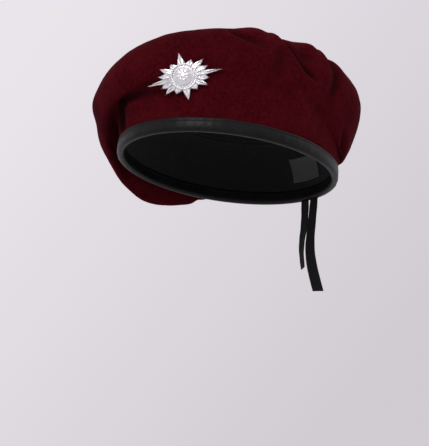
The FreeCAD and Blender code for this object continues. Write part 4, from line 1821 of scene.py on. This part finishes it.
# ------------------------------------------------------------------ the badge
@dataclass
class Badge:
    """A plain oval sunburst with a domed boss in a beaded ring.

    In its own frame the badge faces +Z, with +Y up and +X towards the wearer's left. Its
    outline has this many corners, and each stretch between two of them this many steps.
    """

    recipe: bpy.types.GeometryNodeTree
    width: float = 70.0
    height: float = 43.0
    thick: float = 1.6
    bend: float = 105.0
    boss_width: float = 19.0
    boss_rise: float = 4.2
    ring_wire: float = 2.0
    beads: int = 40
    corners: int = 32
    steps: int = 8
    rows: int = 30

    def __post_init__(self) -> None:
        """Find the badge's own frame from the CAD clutches and ring."""
        pull = next(j for j in frame["joints"] if j["name"] == "front_clutch_pull")
        facing = -unit(np.array(pull["axis"], float))
        sideways = (box_middle(node_points("clutch_rear"))
                    - box_middle(node_points("clutch_front")))
        sideways = unit(sideways - facing * (sideways @ facing))
        self.axes = np.stack([sideways, np.cross(facing, sideways), facing])
        ring = node_points("badge_ring") @ self.axes.T
        middle = box_middle(ring)
        middle[2] = ring[:, 2].max() - self.ring_wire / 2 - self.thick
        self.origin = middle @ self.axes

    def _placed(self, local: Points) -> Points:
        """Bend points round the cap and move them from the badge's frame to the cap's.

        Args:
            local: Points in the badge's frame.

        Returns:
            The same points in the cap's frame.
        """
        bent = np.array(local, float)
        sunk = self.bend - np.sqrt(self.bend ** 2 - bent[..., 0] ** 2)
        bent[..., 2] = bent[..., 2] - sunk
        return bent @ self.axes + self.origin

    def _outline(self) -> Points:
        """The sunburst's outline: eight long and eight short rays.

        Returns:
            One corner to a row, across and up.
        """
        points = []
        for k in range(self.corners):
            angle = 2 * math.pi * k / self.corners
            long = 1.0 if k % 8 == 0 else 0.78
            share = long if k % 4 == 0 else 0.66 if k % 4 == 2 else 0.52
            points.append((share * self.width / 2 * math.cos(angle),
                           share * self.height / 2 * math.sin(angle)))
        return np.array(points)

    def _burst(self, material: bpy.types.Material) -> None:
        """Build the plate of fluted rays.

        Args:
            material: The badge's metal.
        """
        outline = self._outline()
        shares = np.linspace(0.08, 1.0, self.rows)
        place = np.arange(self.corners * self.steps) / self.steps
        first = place.astype(int)
        part = (place - first)[:, None]
        rim = outline[first] * (1 - part) + outline[(first + 1) % self.corners] * part
        from_ridge = np.abs((place + 1) % 2 - 1)
        columns = len(place)
        flat = rim[:, None, :] * shares[None, :, None]
        rim_height, ridge_height, flute_depth = 0.75, 1.35, 0.26
        ridge = (1 - from_ridge)[:, None] ** 0.9
        flute = flute_depth * np.cos(from_ridge * 3 * np.pi)[:, None] * smooth_step(
            shares, 0.25, 0.5)
        taper = 1.0 - 0.45 * smooth_step(shares, 0.55, 1.0)
        bevel = 1.0 - 0.55 * smooth_step(shares, 0.93, 1.0)
        height = (rim_height + ridge_height * ridge * taper + flute * taper) * bevel
        top = np.dstack([flat, height])
        under = np.dstack([flat, np.zeros((columns, self.rows))])
        count = columns * self.rows
        points = np.vstack([top.reshape(-1, 3), under.reshape(-1, 3),
                            [[0, 0, self.thick], [0, 0, 0]]])
        faces = grid_faces(columns, self.rows)
        faces += grid_faces(columns, self.rows, start=count, flip=True)
        for column in range(columns):
            here, after = column * self.rows, (column + 1) % columns * self.rows
            last = self.rows - 1
            faces.append([here + last, after + last, count + after + last,
                          count + here + last])
            faces.append([after, here, 2 * count])
            faces.append([count + here, count + after, 2 * count + 1])
        piece = make_piece("sunburst", self._placed(points), faces)
        recess = 0.62 * (1 - smooth_step(height, 0.7, 1.35))
        values = np.concatenate([recess.ravel(), np.full(count, 0.5), [0.0, 0.0]])
        store_values(piece, "recess", values)
        sharp_edges(piece, 32.0)
        finish_piece(piece, material, Slot.BADGE, "badge_plate")

    def _dome(self, material: bpy.types.Material) -> None:
        """Build the boss: a low dome with a plain rosette.

        Args:
            material: The badge's metal.
        """
        half, columns, rows = self.boss_width / 2, 144, 42
        radius = np.linspace(0.12, half, rows)[None, :]
        angle = (np.arange(columns) * 2 * np.pi / columns)[:, None]
        curve = (half ** 2 + self.boss_rise ** 2) / (2 * self.boss_rise)
        dome = self.thick + self.boss_rise - curve + np.sqrt(curve ** 2 - radius ** 2)
        petal_count, petal_rise, recess_limit = 8, 0.42, 0.65
        petals = petal_rise * np.abs(np.cos(petal_count / 2 * angle)) ** 0.7
        band = smooth_step(radius, 2.7, 3.6) * (1 - smooth_step(radius, 6.6, 7.6))
        groove = 0.42 * np.exp(-((radius - 2.5) / 0.32) ** 2)
        step = 0.38 * np.exp(-((radius - 8.1) / 0.3) ** 2)
        height = dome + petals * band - groove - step
        shape = np.ones((columns, rows))
        top = np.dstack([radius * np.cos(angle) * shape, radius * np.sin(angle) * shape,
                         height * shape])
        skirt = top[:, -1:].copy()
        skirt[..., 2] = 0.2
        side = np.concatenate([top, skirt], 1)
        points = np.vstack([side.reshape(-1, 3), [[0, 0, height[0, 0]], [0, 0, 0.2]]])
        count, rows = columns * (rows + 1), rows + 1
        faces = grid_faces(columns, rows)
        for column in range(columns):
            here, after = column * rows, (column + 1) % columns * rows
            faces.append([after, here, count])
            faces.append([here + rows - 1, after + rows - 1, count + 1])
        piece = make_piece("boss", self._placed(points), faces)
        low = groove * 2.0 + step * 1.6 + band * (petal_rise - petals) * 1.2
        low = np.clip(low * shape, 0, recess_limit)
        values = np.concatenate([np.hstack([low, low[:, -1:]]).ravel(), [0.0, 0.0]])
        store_values(piece, "recess", values)
        sharp_edges(piece, 40.0)
        finish_piece(piece, material, Slot.BADGE, "badge_boss")

    def _ring(self, material: bpy.types.Material) -> None:
        """Build the rim round the boss: a wire with beads on it.

        Args:
            material: The badge's metal.
        """
        wire = self.ring_wire / 2
        major = self.boss_width / 2 + wire
        columns, rows = 120, 12
        angle = np.repeat(np.arange(columns) * 2 * np.pi / columns, rows)
        turn = np.tile(np.arange(rows) * 2 * np.pi / rows, columns)
        reach = major + wire * 0.95 * np.cos(turn)
        points = np.stack([reach * np.cos(angle), reach * np.sin(angle),
                           self.thick - 0.35 + wire * 0.7 * np.sin(turn)], -1)
        faces = []
        for column in range(columns):
            for row in range(rows):
                here, after = column * rows, (column + 1) % columns * rows
                up = (row + 1) % rows
                faces.append([here + row, after + row, after + up, here + up])
        band = make_piece("ring_band", self._placed(points), faces)
        store_values(band, "recess", np.full(len(points), 0.45))
        finish_piece(band, material, Slot.BADGE, "badge_ring")
        line_points = 240
        circle = np.arange(line_points) * 2 * np.pi / line_points
        line = np.stack([major * np.cos(circle), major * np.sin(circle),
                         np.full(line_points, self.thick + 0.2)], -1)
        spacing = 2 * math.pi * major / self.beads
        bead = spacing * 0.94
        row = RoundedRow(self.recipe, spacing, long=bead, thick=bead)
        finish_piece(row.build("ring_beads", self._placed(line), material), material,
                     Slot.BADGE)

    def build(self, material: bpy.types.Material) -> None:
        """Build the badge's pieces.

        Args:
            material: The badge's metal.
        """
        self._burst(material)
        self._dome(material)
        self._ring(material)


def sharp_edges(piece: bpy.types.Object, limit: float) -> None:
    """Shade a piece smooth, but keep edges that turn more than this many degrees."""
    piece.data.set_sharp_from_angle(angle=math.radians(limit))


# ----------------------------------------------------------------- the studio
@dataclass
class Studio:
    """A pale floor, a pale surround, two soft lights and the camera.

    Angles are in degrees and lengths in metres, but the lens is in millimetres.
    """

    azimuth: float = 50.0
    elevation: float = -19.2
    roll: float = 4.1
    yaw: float = -0.56
    pitch: float = -2.72
    distance: float = 1.0
    lens: float = 89.2
    floor_level: float = -1.25
    bright_wall: tuple = (0.822, 0.786, 0.824, 1.0)
    dim_wall: tuple = (0.632, 0.600, 0.640, 1.0)
    wall_spread: float = 0.21

    def __post_init__(self) -> None:
        """Work out the camera's place and axes."""
        azimuth, elevation = math.radians(self.azimuth), math.radians(self.elevation)
        self.back = Vector((math.sin(azimuth) * math.cos(elevation),
                            -math.cos(azimuth) * math.cos(elevation),
                            math.sin(elevation)))
        ahead = -self.back
        right = ahead.cross(Vector((0, 0, 1))).normalized()
        upright = right.cross(ahead)
        yaw, pitch = math.radians(self.yaw), math.radians(self.pitch)
        ahead = (ahead * math.cos(yaw) * math.cos(pitch)
                 + right * math.sin(yaw) * math.cos(pitch) + upright * math.sin(pitch))
        right = ahead.cross(Vector((0, 0, 1))).normalized()
        upright = right.cross(ahead)
        roll = math.radians(self.roll)
        self.ahead = ahead
        self.right = right * math.cos(roll) + upright * math.sin(roll)
        self.upright = upright * math.cos(roll) - right * math.sin(roll)

    def _camera(self) -> None:
        """Make the camera."""
        data = bpy.data.cameras.new("camera")
        data.lens = self.lens
        camera = bpy.data.objects.new("camera", data)
        turn = Matrix((self.right, self.upright, -self.ahead)).transposed().to_4x4()
        camera.matrix_world = Matrix.Translation(self.back * self.distance) @ turn
        bpy.context.scene.collection.objects.link(camera)
        bpy.context.scene.camera = camera

    def _surround(self) -> None:
        """Light the scene from all round, paler at the upper left than at the lower right."""
        world = bpy.data.worlds.new("studio")
        world.use_nodes = True
        bpy.context.scene.world = world
        wires = Wiring(world.node_tree)
        way = wires.node("ShaderNodeTexCoord").outputs["Generated"]
        slope = wires.node("ShaderNodeVectorMath", operation="DOT_PRODUCT")
        wires.join(way, slope.inputs[0])
        slope.inputs[1].default_value = (self.upright * 0.62 - self.right * 0.78).normalized()
        centre = -self.back.dot(Vector(slope.inputs[1].default_value))
        share = wires.span(slope.outputs["Value"], centre - self.wall_spread,
                           centre + self.wall_spread)
        wall = wires.mix(share, self.dim_wall, self.bright_wall)
        background = world.node_tree.nodes["Background"]
        wires.join(wall, background.inputs["Color"])
        background.inputs["Strength"].default_value = 1.0

    @staticmethod
    def _light(name: str, place: Vector, size: float, power: float) -> None:
        """Make a square soft light that faces the cap.

        Args:
            name: Name of the light.
            place: Where it stands, in metres.
            size: Length of its side in metres.
            power: Its power in watts.
        """
        data = bpy.data.lights.new(name, "AREA")
        data.size = size
        data.energy = power
        light = bpy.data.objects.new(name, data)
        light.location = place
        light.rotation_mode = "QUATERNION"
        cap_middle = Vector((0, 0, 0.05))
        light.rotation_quaternion = (cap_middle - place).to_track_quat("-Z", "Y")
        bpy.context.scene.collection.objects.link(light)

    def _floor(self) -> None:
        """Lay a plain pale floor well below the cap."""
        half, level = 7.0, self.floor_level
        corners = np.array([[-half, -half, level], [half, -half, level],
                            [half, half, level], [-half, half, level]])
        floor = make_piece("floor", corners / MM, [[0, 1, 2, 3]], tidy_normals=False)
        finish = Finish("pale_floor")
        clouds = finish.wires.noise(finish.place, 1.5)
        finish.colour(finish.wires.mix(clouds, (0.80, 0.79, 0.80, 1), (0.86, 0.85, 0.86, 1)))
        floor.data.materials.append(finish.constant(Roughness=0.75))

    def build(self) -> None:
        """Set up the whole studio."""
        self._camera()
        self._surround()
        self._floor()
        key = self.back * 1.25 - self.right * 0.35 + self.upright * 1.3
        self._light("key", key, size=0.7, power=13.0)
        rim = self.right * 1.5 + self.upright * 0.9 - self.back * 0.5
        self._light("rim", rim, size=1.2, power=2.5)
        bpy.context.scene.view_settings.view_transform = "Standard"


def main() -> None:
    """Build every piece of the beret and its studio."""
    logging.basicConfig(level=logging.INFO, format="%(message)s")
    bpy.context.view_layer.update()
    wardrobe = Wardrobe()
    wardrobe.dress_nodes()
    recipe = row_recipe()
    opening = Opening.measured(Binding.wall)
    FeltCrown(opening).build(wardrobe.felt)
    Binding(opening, recipe).build(wardrobe.leather, wardrobe.thread)
    RibbonTail("left_ribbon", body="left_tail", node="drawstring_tail_left", side=1,
               route=LEFT_ROUTE, length=91.0, twist=-32.0, turn=-8.0,
               slant=1.2).build(wardrobe.ribbon)
    RibbonTail("right_ribbon", body="right_tail", node="drawstring_tail_right", side=-1,
               route=RIGHT_ROUTE, length=67.0, twist=18.0, turn=6.0,
               slant=-1.0).build(wardrobe.ribbon)
    Lining(opening, recipe).build(wardrobe.lining, wardrobe.label, wardrobe.thread)
    Badge(recipe).build(wardrobe.badge)
    Studio().build()


if __name__ == "__main__":
    main()
